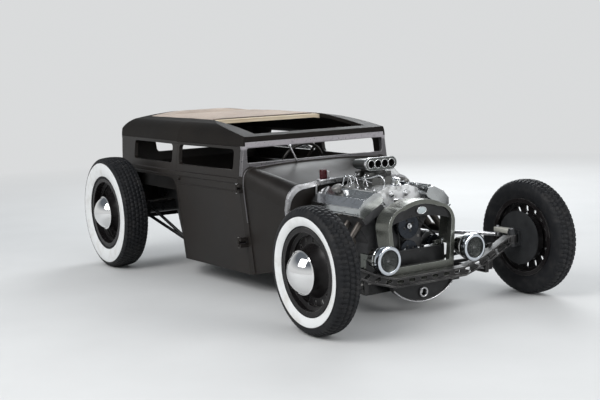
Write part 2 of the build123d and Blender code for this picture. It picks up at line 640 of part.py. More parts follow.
def make_front_axle():
    """Dropped I-beam: flanges top and bottom, thin web with oblong holes, kingpin eyes."""
    h, w = AXLE_H / 2, AXLE_W / 2
    line = [(0, AXLE_Z), (250, AXLE_Z), (400, 248), (540, 312), (KINGPIN_Y - 30, Z_FRONT - 2)]

    def offset(side):
        """The beam's centre line moved square to itself."""
        moved = []
        for i, (y, z) in enumerate(line):
            a, b = line[max(i - 1, 0)], line[min(i + 1, len(line) - 1)]
            n = hypot(b[0] - a[0], b[1] - a[1])
            moved.append((y - side * (b[1] - a[1]) / n, z + side * (b[0] - a[0]) / n))
        moved[0] = (0, line[0][1] + side)
        return moved

    def layer(top, bottom, half):
        up, down = offset(top), offset(bottom)
        face = outline(up[0], *up[1:], *reversed(down))
        return pull(face, "x", X_FRONT - half, X_FRONT + half)

    flange = 9
    beam = layer(h, h - flange, w) + layer(flange - h, -h, w) + layer(h, -h, 5)
    eye = pull(Pos(X_FRONT, KINGPIN_Y) * Circle(KINGPIN_R + 15), "z", Z_FRONT - EYE_H / 2,
               Z_FRONT + EYE_H / 2)
    neck = box(X_FRONT - 18, X_FRONT + 18, KINGPIN_Y - 46, KINGPIN_Y, Z_FRONT - 19, Z_FRONT + 19)
    beam -= box(X_FRONT - 40, X_FRONT + 40, KINGPIN_Y - 34, KINGPIN_Y + 40, 0,
                Z_FRONT - EYE_H / 2)
    beam += eye + neck
    y, z = SHACKLE_Y, SPRING_END - 34
    beam += box(SPRING_X - 20, X_FRONT, y - 12, y + 12, z, z + 20)
    beam += box(X_FRONT - 14, X_FRONT, y - 12, y + 12, z, 262)
    beam -= pull(Pos(X_FRONT, KINGPIN_Y) * Circle(KINGPIN_R + RUN_FIT), "z", 0, 600)
    slots = []
    for (ya, za), (yb, zb) in zip(line, line[1:]):
        run = hypot(yb - ya, zb - za)
        count = max(1, int(run // 72))
        angle = degrees_of(yb - ya, zb - za)
        for i in range(count):
            t = (i + 0.5) / count
            if ya + (yb - ya) * t > KINGPIN_Y - 60 or abs(ya + (yb - ya) * t - SHACKLE_Y) < 5:
                continue
            slots.append(Pos(ya + (yb - ya) * t, za + (zb - za) * t) * Rot(0, 0, angle)
                         * SlotOverall(46, 20))
    for slot in slots:
        beam -= pull(slot, "x", X_FRONT - 30, X_FRONT + 30)
    return beam + flip(beam)


def degrees_of(run, rise):
    return Vector(1, 0).get_signed_angle(Vector(run, rise)) if rise else 0


def leaf_pack(x, top, ends, half, thick, width):
    """Transverse leaf pack, clamped flat in the middle and stepping down to its eyes."""
    pad = 62
    side = outline((0, top - thick), (half * 0.34, top - thick),
                   (half * 0.36, top - thick * 0.7), (half * 0.64, (top + ends) / 2 - thick * 0.6),
                   (half * 0.66, (top + ends) / 2 - thick * 0.3), (half, ends - 6),
                   (half, ends + 6), (half * 0.6, (top + ends) / 2 + 4), (pad, top), (0, top))
    spring = pull(side, "x", x - width / 2, x + width / 2)
    return spring + flip(spring)


def make_leaf_springs():
    front = leaf_pack(SPRING_X, SPRING_TOP, SPRING_END, SHACKLE_Y + 14, SPRING_T, SPRING_W)
    rear = leaf_pack(REAR_SPRING_X, REAR_SPRING_TOP, REAR_SPRING_END, 430, 36, 50)
    for y in (-SHACKLE_Y, SHACKLE_Y):
        front += box(SPRING_X - 18, SPRING_X + 18, y - 7, y + 7, SPRING_END - 14, SPRING_END)
    return group(front, rear)


def make_radius_rods():
    """Hairpins: two bars from each axle that meet at a pivot on the rail."""
    hairpins = []
    for x, y, spread, anchor in ((X_FRONT - AXLE_W / 2 - 9, 492, (318, 190), FRONT_ANCHOR),
                                 (X_REAR + 55, 540, (438, 356), REAR_ANCHOR)):
        bars = None
        for z in spread:
            bar = rod((x, y, z), anchor, ROD_R)
            bars = bar if bars is None else bars + bar
        eye = pull(Pos(anchor[0], anchor[2]) * Circle(24), "y", RAIL_Y + RAIL_T,
                   anchor[1] + 20)
        plate = box(x - 9, x + 9, y - 14, y + 14, min(spread) - 14, max(spread) + 14)
        hairpins.append(bars + eye + plate)
    return group(*[both(pin) for pin in hairpins])


# ---- Steered knuckles, tie rod, rear axle, propeller shaft

def make_knuckle_left():
    """Left knuckle: the plain one with an upper arm for the drag link."""
    top = Z_FRONT + EYE_H / 2 + 1
    low = DRAG_Z + TIE_R + 3
    arm = link_arm(X_FRONT, KINGPIN_Y, low, top + 34, KINGPIN_R) - \
        box(X_FRONT - 40, X_FRONT + 40, 500, 700, 0, top + 22)
    arm += pull(Pos(X_FRONT - ARM_BACK, KINGPIN_Y) * Circle(TIE_PIN_R), "z",
                DRAG_Z - TIE_R - 4, low + 6)
    return make_knuckle() + arm


def make_knuckle():
    """Yoke round the axle's eye, kingpin, stub, backing plate and steering arm."""
    mid = TRACK_FRONT / 2
    ear, gap = 22, 1
    z_low, z_high = Z_FRONT - EYE_H / 2 - gap, Z_FRONT + EYE_H / 2 + gap
    plate_y = mid - 78
    body = box(X_FRONT - 24, X_FRONT + 24, KINGPIN_Y + KINGPIN_R + 20, plate_y + 2,
               z_low - ear, z_high + ear)
    for z0, z1 in ((z_low - ear, z_low), (z_high, z_high + ear)):
        body += pull(Pos(X_FRONT, KINGPIN_Y) * Circle(KINGPIN_R + 14), "z", z0, z1)
        body += box(X_FRONT - 20, X_FRONT + 20, KINGPIN_Y, plate_y + 1, z0, z1)
    body += pull(Pos(X_FRONT, KINGPIN_Y) * Circle(KINGPIN_R), "z", z_low - ear, z_high + ear)
    body += pull(Pos(X_FRONT, Z_FRONT) * Circle(PLATE_R), "y", plate_y, plate_y + 6)
    body += pull(Pos(X_FRONT, Z_FRONT) * Circle(STUB_R), "y", plate_y, mid + HUB_OUT - 4)
    body += pull(Pos(X_FRONT, Z_FRONT) * Circle(STUB_R + 9), "y", plate_y, mid + HUB_IN - 1)
    arm = outline((X_FRONT + 18, z_low), (X_FRONT + 18, z_low - ear),
                  (X_FRONT - ARM_BACK + 14, TIE_Z + TIE_R + 6),
                  (X_FRONT - ARM_BACK - 14, TIE_Z + TIE_R + 6),
                  (X_FRONT - ARM_BACK - 14, TIE_Z + TIE_R + 20),
                  (X_FRONT - ARM_BACK + 12, TIE_Z + TIE_R + 20), (X_FRONT - 18, z_low))
    body += pull(arm, "y", KINGPIN_Y - 13, KINGPIN_Y + 13)
    body += pull(Pos(X_FRONT - ARM_BACK, KINGPIN_Y) * Circle(TIE_PIN_R), "z",
                 TIE_Z - TIE_R - 4, TIE_Z + TIE_R + 8)
    return body


def make_tie_rod():
    x = X_FRONT - ARM_BACK
    bar = rod((x, -KINGPIN_Y, TIE_Z), (x, KINGPIN_Y, TIE_Z), TIE_R)
    for y in (-KINGPIN_Y, KINGPIN_Y):
        bar += pull(Pos(x, y) * Circle(17), "z", TIE_Z - TIE_R - 1, TIE_Z + TIE_R + 1)
    for y in (-KINGPIN_Y, KINGPIN_Y):
        bar -= pull(Pos(x, y) * Circle(TIE_PIN_R + RUN_FIT), "z", 0, 400)
    return bar


def make_rear_axle():
    mid = TRACK_REAR / 2
    plate_y = mid - 84
    at = (X_REAR, 0, Z_REAR)
    half = turned([(0, 0), (132, 0), (132, 40), (96, 92, 52, 118), (40, 240), (38, plate_y + 3),
                   (0, plate_y + 3)], at)
    half += turned([(0, plate_y), (PLATE_R, plate_y), (PLATE_R, plate_y + 6), (0, plate_y + 6)],
                   at)
    half += turned([(0, plate_y), (STUB_R + 9, plate_y), (STUB_R + 9, mid + HUB_IN - 1),
                    (STUB_R, mid + HUB_IN - 1), (STUB_R, mid + HUB_OUT - 4),
                    (0, mid + HUB_OUT - 4)], at)
    bracket = box(X_REAR, X_REAR + 46, 520, 560, Z_REAR - 50, Z_REAR + 50)
    perch = box(REAR_SPRING_X - 16, X_REAR, 396, 416, Z_REAR - 14, Z_REAR + 14) + \
        box(REAR_SPRING_X - 16, REAR_SPRING_X + 16, 396, 416, Z_REAR - 14, REAR_SPRING_END - 6)
    half += bracket + perch
    nose = Pos(X_REAR - 25 + NOSE_L / 2, 0, Z_REAR) * Rot(0, 90, 0) * Cone(105, 46, NOSE_L)
    return half + flip(half) + nose


def make_propshaft():
    half_joint = 13
    a = (GEARBOX_TAIL - half_joint, 0, Z_CRANK)
    b = (X_REAR + NOSE_L - 25 + half_joint, 0, Z_REAR)
    shaft = rod(a, b, 34)
    for end in (a, b):
        shaft += Pos(*end) * Rot(0, 90, 0) * Cylinder(42, 2 * half_joint)
    ends = box(b[0] - half_joint, a[0] + half_joint, -60, 60, 200, 500)
    return shaft & ends


# ---- Engine and gearbox


def make_engine_block():
    """Block, heads and oil pan as the engine's one heavy mass."""
    right = [(125, 150), (150, 262), (196, 296), (180, 372), (214, 436), (304, 546),
             (168, 622), (60, 530)]
    block = pull(outline((0, 150), *right, (0, 530)), "x", X_BLOCK_REAR, X_BLOCK_FRONT)
    bay = outline((TIMING_HALF, 100), (TIMING_HALF, 578), (276, 495), (340, 459), (340, 100))
    block -= pull(bay, "x", X_BLOCK_FRONT - BANK_BACK, X_BLOCK_FRONT + 1)
    return block + flip(block)


def cover_face():
    return outline((326, 560), (326, 604), (284, 650), (214, 684), (176, 678), (156, 640),
                   (168, 622), (304, 546))


def make_valve_covers():
    cover = pull(cover_face(), "x", X_COVER_REAR, X_COVER_FRONT)
    return both(cover)


def make_intake():
    low = outline((-60, 530), (-168, 622), (-156, 640), (-144, 676), (-80, 700), (80, 700),
                  (144, 676), (156, 640), (168, 622), (60, 530))
    intake = pull(low, "x", X_BLOCK_REAR + 60, X_BLOCK_FRONT - 40)
    x_mid = (SCOOP_FRONT + SCOOP_REAR) / 2
    intake += box(x_mid - 90, x_mid + 90, -72, 72, 690, 742)
    for x in (x_mid - 48, x_mid + 48):
        intake += pull(Pos(x, 0) * Circle(44), "z", 735, SCOOP_LOW)
    return intake


def make_air_scoop():
    """Low scoop that narrows rearwards, with four round ports in its nose."""
    z = (SCOOP_LOW + SCOOP_HIGH) / 2
    tall = SCOOP_HIGH - SCOOP_LOW
    nose = Pos(0, z) * RectangleRounded(2 * SCOOP_HALF, tall, tall / 2 - 1)
    waist = Pos(0, z - 3) * RectangleRounded(2 * SCOOP_HALF - 8, tall - 8, tall / 2 - 5)
    tail = Pos(0, z - 6) * RectangleRounded(2 * SCOOP_HALF - 50, tall - 24, tall / 2 - 13)
    scoop = pull(nose, "x", SCOOP_FRONT - 14, SCOOP_FRONT)
    scoop += loft([on_plane(waist, "x", SCOOP_FRONT - 12), on_plane(tail, "x", SCOOP_REAR)])
    x_mid = (SCOOP_FRONT + SCOOP_REAR) / 2
    scoop += box(x_mid - 84, x_mid + 70, -60, 60, SCOOP_LOW, SCOOP_LOW + 30)
    pitch = (2 * SCOOP_HALF - tall) / (PORTS - 1) * 0.99
    for i in range(PORTS):
        y = (i - (PORTS - 1) / 2) * pitch
        scoop -= pull(Pos(y, z) * Circle(PORT_R), "x", SCOOP_FRONT - 60, SCOOP_FRONT + 1)
    return scoop


def make_headers():
    """Four stubs and a log tube that drops to a pipe along the rail, each side."""
    log_z, log_y, pipe_y, pipe_z, r = 412, 342, 388, 155, 25
    header = bent_rod([(X_BLOCK_FRONT - 30, log_y, log_z), (X_BLOCK_REAR + 94, log_y, log_z),
                       (X_BLOCK_REAR + 19, pipe_y, pipe_z), (PIPE_END_X, pipe_y, pipe_z)], r, 55)
    for i in range(4):
        x = X_BLOCK_FRONT - 60 - i * 106
        header += rod((x, 256, 520), (x, log_y, log_z), 20)
    header += rod((PIPE_END_X, pipe_y, pipe_z), (PIPE_END_X + PIPE_END_L, pipe_y, pipe_z),
                  PIPE_END_R)
    return both(header - make_engine_block())


def make_pulleys():
    """Crank, pump and alternator pulleys, each with its shaft."""
    discs = []
    for y, z, r, width in PULLEYS:
        disc = pull(Pos(y, z) * Circle(r), "x", PULLEY_X + PULLEY_W - width,
                    PULLEY_X + PULLEY_W)
        disc -= pull(Pos(y, z) * (Circle(r + 1) - Circle(r - 8)), "x", PULLEY_X + 5,
                     PULLEY_X + PULLEY_W - 5)
        disc += pull(Pos(y, z) * Circle(17), "x", X_BLOCK_FRONT, PULLEY_X + PULLEY_W + 8)
        discs.append(disc)
    return group(*discs)


def make_alternator():
    """Round alternator low on the left of the block, on its arm."""
    body = pull(Pos(ALT_Y, ALT_Z) * Circle(ALT_R), "x", X_BLOCK_FRONT - 96, X_BLOCK_FRONT)
    arm = box(X_BLOCK_FRONT - 60, X_BLOCK_FRONT - 40, 120, ALT_Y, ALT_Z - 12, ALT_Z + 12)
    return body + arm - make_engine_block()


def make_gearbox():
    """Bellhousing behind the block, gearbox and its tail under the tunnel."""
    x0, x1 = X_BLOCK_REAR - 150, X_BLOCK_REAR
    bell = Pos((x0 + x1) / 2, 0, Z_CRANK) * Rot(0, 90, 0) * Cone(100, 165, x1 - x0)
    side = outline((-84, -110), (84, -110), (84, 16), (0, 80, -84, 16))
    case_end = GEARBOX_TAIL + 180
    case = pull(Pos(0, Z_CRANK) * side, "x", case_end, x0 + 1)
    tail_l = case_end + 1 - GEARBOX_TAIL
    tail = Pos(GEARBOX_TAIL + tail_l / 2, 0, Z_CRANK) * Rot(0, 90, 0) * Cone(34, 62, tail_l)
    mount = box(X_GEAR_MOUNT - 20, X_GEAR_MOUNT + 20, -70, 70, Z_FLOOR - RAIL_H + 34,
                Z_CRANK - 100)
    return bell + case + tail + mount


# ---- Front: grille shell, apron, badge panel, lamps

def shell_face(shrink, low):
    """The tall arched outline of the grille shell in (Y, Z)."""
    h, top = SHELL_HALF - shrink, SHELL_TOP - shrink
    return outline((h - 18, low), (h, 470), (h - 24, 562, h - 92, 604 - shrink * 0.6),
                   (0, top, 92 - h, 604 - shrink * 0.6), (24 - h, 562, -h, 470),
                   (18 - h, low))


def make_grille_shell():
    """Open arched shell: deep sides above the crossmember, a front rim down to the apron."""
    deep = pull(shell_face(0, SHELL_FOOT), "x", SHELL_BACK, SHELL_FRONT)
    deep -= pull(shell_face(SHELL_WALL, SHELL_FOOT - 5), "x", SHELL_BACK - 1, SHELL_FRONT + 1)
    x0 = SHELL_FRONT - APRON_DEEP
    rim = pull(shell_face(0, APRON_TOP), "x", x0, SHELL_FRONT)
    rim -= pull(shell_face(RIM_W, OPENING_LOW), "x", x0 - 1, SHELL_FRONT + 1)
    feet = box(X_RAIL_FRONT - 28, X_RAIL_FRONT - 4, 165, SHELL_HALF, CROSS_TOP,
               SHELL_FOOT + 14) & pull(shell_face(0, 300), "x", SHELL_BACK, SHELL_FRONT)
    return deep + rim + feet + flip(feet)


def apron_face(shrink):
    h = SHELL_HALF - 18 - shrink
    return outline((h, APRON_TOP), (h - 8, 140), (0, APRON_LOW + shrink, 8 - h, 140),
                   (-h, APRON_TOP))


def make_apron():
    """Lower apron with its lip and the ring round the starting-crank hole."""
    x0, x1 = SHELL_FRONT - APRON_DEEP, SHELL_FRONT
    apron = pull(apron_face(0), "x", x0, x1 - 10)
    apron += pull(apron_face(0), "x", x1 - 11, x1) - pull(apron_face(12), "x", x1 - 12, x1 + 1)
    apron += pull(Pos(0, CRANK_Z) * Circle(CRANK_R + 9), "x", x0, x1)
    return apron - pull(Pos(0, CRANK_Z) * Circle(CRANK_R), "x", x0 - 1, x1 + 1)


def make_badge_panel():
    """Filler across the top of the opening with its blank oval badge."""
    x0, x1 = SHELL_FRONT - APRON_DEEP + 6, SHELL_FRONT - 12
    panel = pull(shell_face(RIM_W, 500), "x", x0, x1)
    lower = outline((-260, 400), (-260, 500), (-150, 528, 0, 548), (150, 528, 260, 500),
                    (260, 400))
    panel -= pull(lower, "x", x0 - 1, x1 + 1)
    return panel + pull(Pos(0, 578) * Ellipse(34, 21), "x", x1 - 1, x1 + 7)


def lamp_profile():
    """Bullet bowl with its rim, drawn in (radius, distance behind the front)."""
    return outline((0, -LAMP_L), (*dome(56, -LAMP_L + 36, -LAMP_L)[:2], 56, -LAMP_L + 36),
                   (74, -58), (74, -30), (LAMP_R, -30), (LAMP_R, -6), (LAMP_R - 8, 0),
                   (LAMP_R - 13, 0), (LAMP_R - 13, -24), (64, -30), dome(64, -30, -96))


def lamp_solid(profile):
    turned_up = revolve(profile, Axis.Y)
    return Pos(LAMP_FRONT, LAMP_Y, LAMP_Z) * Rot(0, 0, -90) * turned_up


def make_headlamps():
    bowl = lamp_solid(lamp_profile())
    y_rail = RAIL_Y + RAIL_T / 2
    stem = box(X_RAIL_FRONT - 60, X_RAIL_FRONT - 30, y_rail - 8, y_rail + 8, Z_FLOOR, LAMP_Z)
    arm = box(X_RAIL_FRONT - 60, LAMP_FRONT - LAMP_L + 20, y_rail - 8, y_rail + 8,
              LAMP_Z - 14, LAMP_Z + 14)
    return both(bowl + stem + arm)


def make_lamp_lenses():
    r = LAMP_R - 13 - SOFT_GAP / 4
    lens = lamp_solid(outline((0, -23), (r, -23), (r, -6), dome(r, -6, 6)))
    return both(lens)


# ---- Wheels, drawn about the Y axis with the outside towards +Y

def tyre_profile(wheel):
    r, w, bead = wheel["tyre"], wheel["width"] / 2, wheel["bead"]
    bead_w = wheel["rim"] / 2 - 4
    flange = bead + FLANGE_H
    wide_r = (r + flange) / 2
    return [(bead, -bead_w), (flange + 2, -bead_w), (wide_r, -w, r - 22, 8 - w),
            (r - 6, 24 - w), (r, 0, r - 6, w - 24), (r - 22, w - 8),
            (wide_r, w, flange + 2, bead_w), (bead, bead_w)]


def make_tyre(wheel):
    points = tyre_profile(wheel)
    return revolve(outline(points[0], *points[1:]), Axis.Y)


def make_rim(wheel):
    """Rim with flanges and well, dish with a ring of long holes and a raised middle, drum."""
    half, seat = wheel["rim"] / 2, wheel["bead"] - SOFT_GAP
    flange, well, inner = seat + FLANGE_H, seat - 19, seat - 25
    barrel = outline((seat - 6, -half), (flange, -half), (flange, -half + 4), (seat, -half + 4),
                     (seat, -22), (well, -14), (well, 14), (seat, 22), (seat, half - 4),
                     (flange, half - 4), (flange, half), (seat - 6, half), (seat - 6, 26),
                     (inner, 18), (inner, -18), (seat - 6, -26))
    rim = revolve(barrel, Axis.Y)
    edge = (inner + well) / 2
    dish = outline((0, HUB_OUT - 4), (50, HUB_OUT - 4), (92, CAP_SEAT - 4), (98, CAP_SEAT),
                   (CAP_R - 4, CAP_SEAT), (CAP_R + 6, 40, DISH_R, 8), (edge, 2), (edge, -7),
                   (DISH_R - 10, -2), (CAP_R - 4, 34, CAP_R - 13, CAP_SEAT - 10),
                   (98, CAP_SEAT - 12), (58, HUB_OUT - 14), (0, HUB_OUT - 14))
    rim += revolve(dish, Axis.Y)
    drum = outline((0, HUB_IN), (60, HUB_IN), (DRUM_R, HUB_IN), (DRUM_R, HUB_IN + 40),
                   (100, HUB_IN + 48), (70, 10), (0, 10))
    rim += revolve(drum, Axis.Y)
    rim += pull(Circle(46), "y", HUB_IN, HUB_OUT)
    hole_l = inner - DISH_R - 9
    for i in range(RIM_HOLES):
        slot = Rot(0, 0, i * 360 / RIM_HOLES) * Pos((inner + DISH_R) / 2, 0) * \
            SlotOverall(hole_l, HOLE_W)
        rim -= pull(slot, "y", -14, 30)
    return rim - pull(Circle(STUB_R + RUN_FIT), "y", HUB_IN - 5, HUB_OUT - 2)


def make_cap():
    """Large domed cap on the dish's raised middle."""
    tip, edge, low = CAP_SEAT + CAP_DEEP, CAP_R - 6, CAP_SEAT + 6
    face = outline((0, tip), (*dome(edge, low, tip)[:2], edge, low), (CAP_R, CAP_SEAT + 2),
                   (CAP_R, CAP_SEAT), (CAP_R - 8, CAP_SEAT), (CAP_R - 12, low + 2),
                   dome(CAP_R - 12, low + 2, tip - 4))
    return revolve(face, Axis.Y)


WHEELS = {"front_left": (FRONT_WHEEL, X_FRONT, 1), "front_right": (FRONT_WHEEL, X_FRONT, -1),
          "rear_left": (REAR_WHEEL, X_REAR, 1), "rear_right": (REAR_WHEEL, X_REAR, -1)}


def save_wheels():
    for name, (wheel, x, side) in WHEELS.items():
        at = Pos(x, wheel["track"] / 2, wheel["tyre"])
        for piece, shape in (("tyre", make_tyre(wheel)), ("rim", make_rim(wheel)),
                             ("cap", make_cap())):
            placed = at * shape
            save(placed if side > 0 else flip(placed), f"{piece}_{name}")


PIECES = {
    "cowl": make_cowl, "firewall": make_firewall, "hood_ledge": make_hood_ledge,
    "windshield_frame": make_windshield_frame, "roof_shell": make_roof_shell,
    "roof_bows": make_roof_bows, "roof_fabric": make_roof_fabric,
    "quarter_panels": lambda: both(make_quarter_left()), "rear_panel": make_rear_panel,
    "door_left": make_door, "door_right": lambda: flip(make_door()),
    "floor": make_floor, "dash": make_dash, "seats": make_seats,
    "steering_column": make_steering_column, "steering_wheel": make_steering_wheel,
    "frame": make_frame, "front_axle": make_front_axle, "leaf_springs": make_leaf_springs,
    "radius_rods": make_radius_rods, "rear_axle": make_rear_axle,
    "propshaft": make_propshaft, "knuckle_left": make_knuckle_left,
    "knuckle_right": lambda: flip(make_knuckle()),
    "pitman_arm": make_pitman_arm, "drag_link": make_drag_link, "tie_rod": make_tie_rod,
    "engine_block": make_engine_block, "valve_covers": make_valve_covers,
    "intake": make_intake, "air_scoop": make_air_scoop, "headers": make_headers,
    "pulleys": make_pulleys, "alternator": make_alternator, "gearbox": make_gearbox,
    "grille_shell": make_grille_shell, "apron": make_apron,
    "badge_panel": make_badge_panel, "headlamps": make_headlamps,
    "lamp_lenses": make_lamp_lenses,
}

os.makedirs("parts", exist_ok=True)
for node, make in PIECES.items():
    save(make(), node)
save_wheels()
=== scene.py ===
import bmesh
import bpy
from math import atan2, copysign, cos, exp, hypot, pi, radians, sin
from mathutils import Matrix, Vector
from mathutils.bvhtree import BVHTree


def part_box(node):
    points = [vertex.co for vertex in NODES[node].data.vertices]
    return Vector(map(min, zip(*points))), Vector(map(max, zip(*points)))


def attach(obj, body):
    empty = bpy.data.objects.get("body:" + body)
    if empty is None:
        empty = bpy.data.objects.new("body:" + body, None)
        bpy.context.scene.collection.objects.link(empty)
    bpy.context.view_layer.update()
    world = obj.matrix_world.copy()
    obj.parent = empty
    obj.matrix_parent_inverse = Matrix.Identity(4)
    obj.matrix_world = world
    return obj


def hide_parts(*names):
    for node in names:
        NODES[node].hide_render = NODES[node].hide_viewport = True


# Lengths are metres in the CAD frame: X forward, Y to the car's left, Z up from the floor.

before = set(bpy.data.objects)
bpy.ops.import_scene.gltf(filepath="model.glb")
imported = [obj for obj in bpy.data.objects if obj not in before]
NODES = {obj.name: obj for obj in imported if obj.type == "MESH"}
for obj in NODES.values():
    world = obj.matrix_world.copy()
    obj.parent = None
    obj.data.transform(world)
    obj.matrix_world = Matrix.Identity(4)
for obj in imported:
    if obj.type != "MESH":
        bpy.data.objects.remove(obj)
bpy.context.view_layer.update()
scene = bpy.context.scene
SIDES = (("left", 1), ("right", -1))
FORWARD, BACKWARD, UP, DOWN = (1, 0, 0), (-1, 0, 0), (0, 0, 1), (0, 0, -1)


# ---- Shader nodes

def feed(tree, target, value):
    """Links the socket that feeds an input, or else sets its value."""
    if isinstance(value, bpy.types.NodeSocket):
        tree.links.new(value, target)
    else:
        target.default_value = value


def add_node(tree, kind, inputs=None, **settings):
    """New node; each input is a value or the socket that feeds it."""
    node = tree.nodes.new("ShaderNode" + kind)
    for key, value in settings.items():
        setattr(node, key, value)
    for key, value in (inputs or {}).items():
        feed(tree, node.inputs[key], value)
    return node


def mix_colors(tree, factor, a, b):
    node = add_node(tree, "Mix", data_type="RGBA")
    for socket, value in (("Factor_Float", factor), ("A_Color", a), ("B_Color", b)):
        target = next(s for s in node.inputs if s.identifier == socket)
        feed(tree, target, (*value, 1) if isinstance(value, tuple) else value)
    return next(s for s in node.outputs if s.identifier == "Result_Color")


class Look:
    """Material with short calls for its nodes; soft is how far hard edges look rounded."""

    def __init__(self, name, color, rough, metal=0.0, soft=0.0, **sockets):
        self.mat = bpy.data.materials.new(name)
        self.mat.use_nodes = True
        self.mat.diffuse_color = (*color, 1)
        self.tree = self.mat.node_tree
        self.shader = self.tree.nodes["Principled BSDF"]
        values = {"Base Color": (*color, 1), "Roughness": rough, "Metallic": metal, **sockets}
        for key, value in values.items():
            self.shader.inputs[key.replace("_", " ")].default_value = value
        self.coords = self.node("TexCoord").outputs["Object"]
        self.normal = self.bevel(soft) if soft else None
        if soft:
            self.link(self.normal, "Normal")

    def node(self, kind, inputs=None, **settings):
        return add_node(self.tree, kind, inputs, **settings)

    def link(self, out, socket):
        self.tree.links.new(out, self.shader.inputs[socket])

    def paint(self, *mix):
        self.link(self.mix(*mix), "Base Color")

    def gloss(self, *ramp):
        self.link(self.ramp(*ramp), "Roughness")

    def grain(self, scale, detail, distance, strength):
        return self.bump(self.noise(scale, detail), distance, strength)

    def math(self, operation, a, b):
        return self.node("Math", {0: a, 1: b}, operation=operation).outputs[0]

    def axis(self, letter):
        """Place along one axis of the frame."""
        return self.node("SeparateXYZ", {0: self.coords}).outputs[letter]

    def stretched(self, scale):
        return self.node("Mapping", {"Vector": self.coords, "Scale": scale}).outputs[0]

    def noise(self, scale, detail=6.0, vector=None):
        return self.node("TexNoise", {"Vector": vector or self.coords, "Scale": scale,
            "Detail": detail, "Roughness": 0.55}).outputs["Fac"]

    def cells(self, scale, feature="F1"):
        return self.node("TexVoronoi", {"Vector": self.coords, "Scale": scale},
            feature=feature).outputs["Distance"]

    def waves(self, scale, axis="X", distortion=0.0, vector=None):
        return self.node("TexWave", {"Vector": vector or self.coords, "Scale": scale,
            "Distortion": distortion}, bands_direction=axis).outputs["Fac"]

    def ramp(self, factor, low, high, value_low=0.0, value_high=1.0):
        return self.node("MapRange", {"Value": factor, "From Min": low, "From Max": high,
            "To Min": value_low, "To Max": value_high}).outputs["Result"]

    def mix(self, factor, a, b):
        return mix_colors(self.tree, factor, a, b)

    def bevel(self, radius):
        return self.node("Bevel", {"Radius": radius}, samples=4).outputs["Normal"]

    def edges(self, radius=0.004):
        """0 on flat ground, 1 along edges, where paint wears through; on the grille shell and the
        axle it marks a painted edge highlight.
        """
        flat = self.node("NewGeometry").outputs["Normal"]
        dot = self.node("VectorMath", {0: self.bevel(radius), 1: flat}, operation="DOT_PRODUCT")
        return self.ramp(dot.outputs["Value"], 0.985, 0.8)

    def bump(self, height, distance, strength):
        inputs = {"Height": height, "Distance": distance, "Strength": strength}
        if self.normal:
            inputs["Normal"] = self.normal
        self.normal = self.node("Bump", inputs).outputs["Normal"]
        self.link(self.normal, "Normal")
        return self


def times(color, share):
    return tuple(c * share for c in color)


# ---- Materials

def satin_body(name="satin_body", base=(0.0115, 0.0092, 0.0078), rough=0.42, specular=0.28):
    """Thin brownish-black satin paint, patchy, dusty and rubbed through at its edges."""
    look = Look(name, base, rough, Specular_IOR_Level=specular, soft=0.004)
    patches = look.noise(2.6, 9)
    fine = look.noise(46, 4)
    tone = look.mix(look.ramp(patches, 0.38, 0.66), times(base, 0.75), times(base, 1.35))
    dust = look.mix(look.ramp(fine, 0.58, 0.84, 0, 0.14), tone, (0.05, 0.042, 0.034))
    edge_mask = look.math("MULTIPLY", look.edges(), look.ramp(fine, 0.45, 0.7))
    look.paint(edge_mask, dust, (0.085, 0.075, 0.065))
    look.gloss(patches, 0.3, 0.7, rough - 0.06, rough + 0.1)
    return look.grain(520, 2, 0.0004, 0.1).mat


def frame_header_highlight():
    """Windshield frame: painted posts, the header above a set height paler lilac-grey as a painted
    highlight.
    """
    look = Look("frame_header_highlight", (0.12, 0.115, 0.12), 0.32, 0.5, Specular_IOR_Level=0.6, soft=0.004)
    fine = look.noise(46, 4)
    # Painted highlight: the frame turns pale lilac-grey above a set height, along the header.
    tone = look.mix(look.ramp(look.axis("Z"), 0.9, 0.913), (0.105, 0.1, 0.105), (0.34, 0.32, 0.34))
    patchy = look.mix(look.ramp(fine, 0.5, 0.8, 0, 0.45), tone, (0.06, 0.055, 0.055))
    look.paint(look.edges(), patchy, (0.5, 0.49, 0.5))
    look.gloss(fine, 0.3, 0.7, 0.26, 0.42)
    return look.grain(520, 2, 0.0004, 0.1).mat


def black_paint(name="frame_black", color=(0.0105, 0.0105, 0.011), rough=0.3,
        edge_color=(0.17, 0.165, 0.16), specular=0.32):
    """Brushed black over steel that shows at the edges, with grime; on the axle the paler edge
    colour is a painted highlight.
    """
    look = Look(name, color, rough, Specular_IOR_Level=specular, soft=0.0025)
    grime = look.noise(9, 8)
    tone = look.mix(look.ramp(grime, 0.5, 0.78), color, tuple(c * 1.6 + 0.012 for c in color))
    edge_mask = look.math("MULTIPLY", look.edges(), look.ramp(grime, 0.35, 0.6))
    look.paint(edge_mask, tone, edge_color)
    look.gloss(grime, 0.35, 0.75, rough * 0.8, rough + 0.28)
    return look.grain(300, 3, 0.0004, 0.15).mat


def bare_metal(name, color, rough, streak=0.0, grain=0.1, scale=30):
    """Clouded bare metal with an even grain and, if brushed, streaks."""
    look = Look(name, color, rough, 1.0, soft=0.0025)
    cloud = look.noise(scale, 8)
    look.paint(look.ramp(cloud, 0.5, 0.8), color, times(color, 0.62))
    look.gloss(cloud, 0.3, 0.75, rough * 0.75, min(rough * 1.6, 0.9))
    if streak:
        lines = look.noise(60, 3, vector=look.stretched((1, 1, 14)))
        look.bump(lines, 0.0003, streak)
    return look.grain(700, 2, 0.0003, grain).mat


def cast_metal(name, color, rough, metal=1.0):
    """Rough cast metal with darker stains."""
    look = Look(name, color, rough, metal, soft=0.004)
    stains = look.ramp(look.noise(14, 9), 0.45, 0.75)
    look.paint(stains, color, times(color, 0.45))
    look.bump(look.cells(900), 0.0006, 0.35)
    return look.grain(140, 5, 0.0006, 0.25).mat


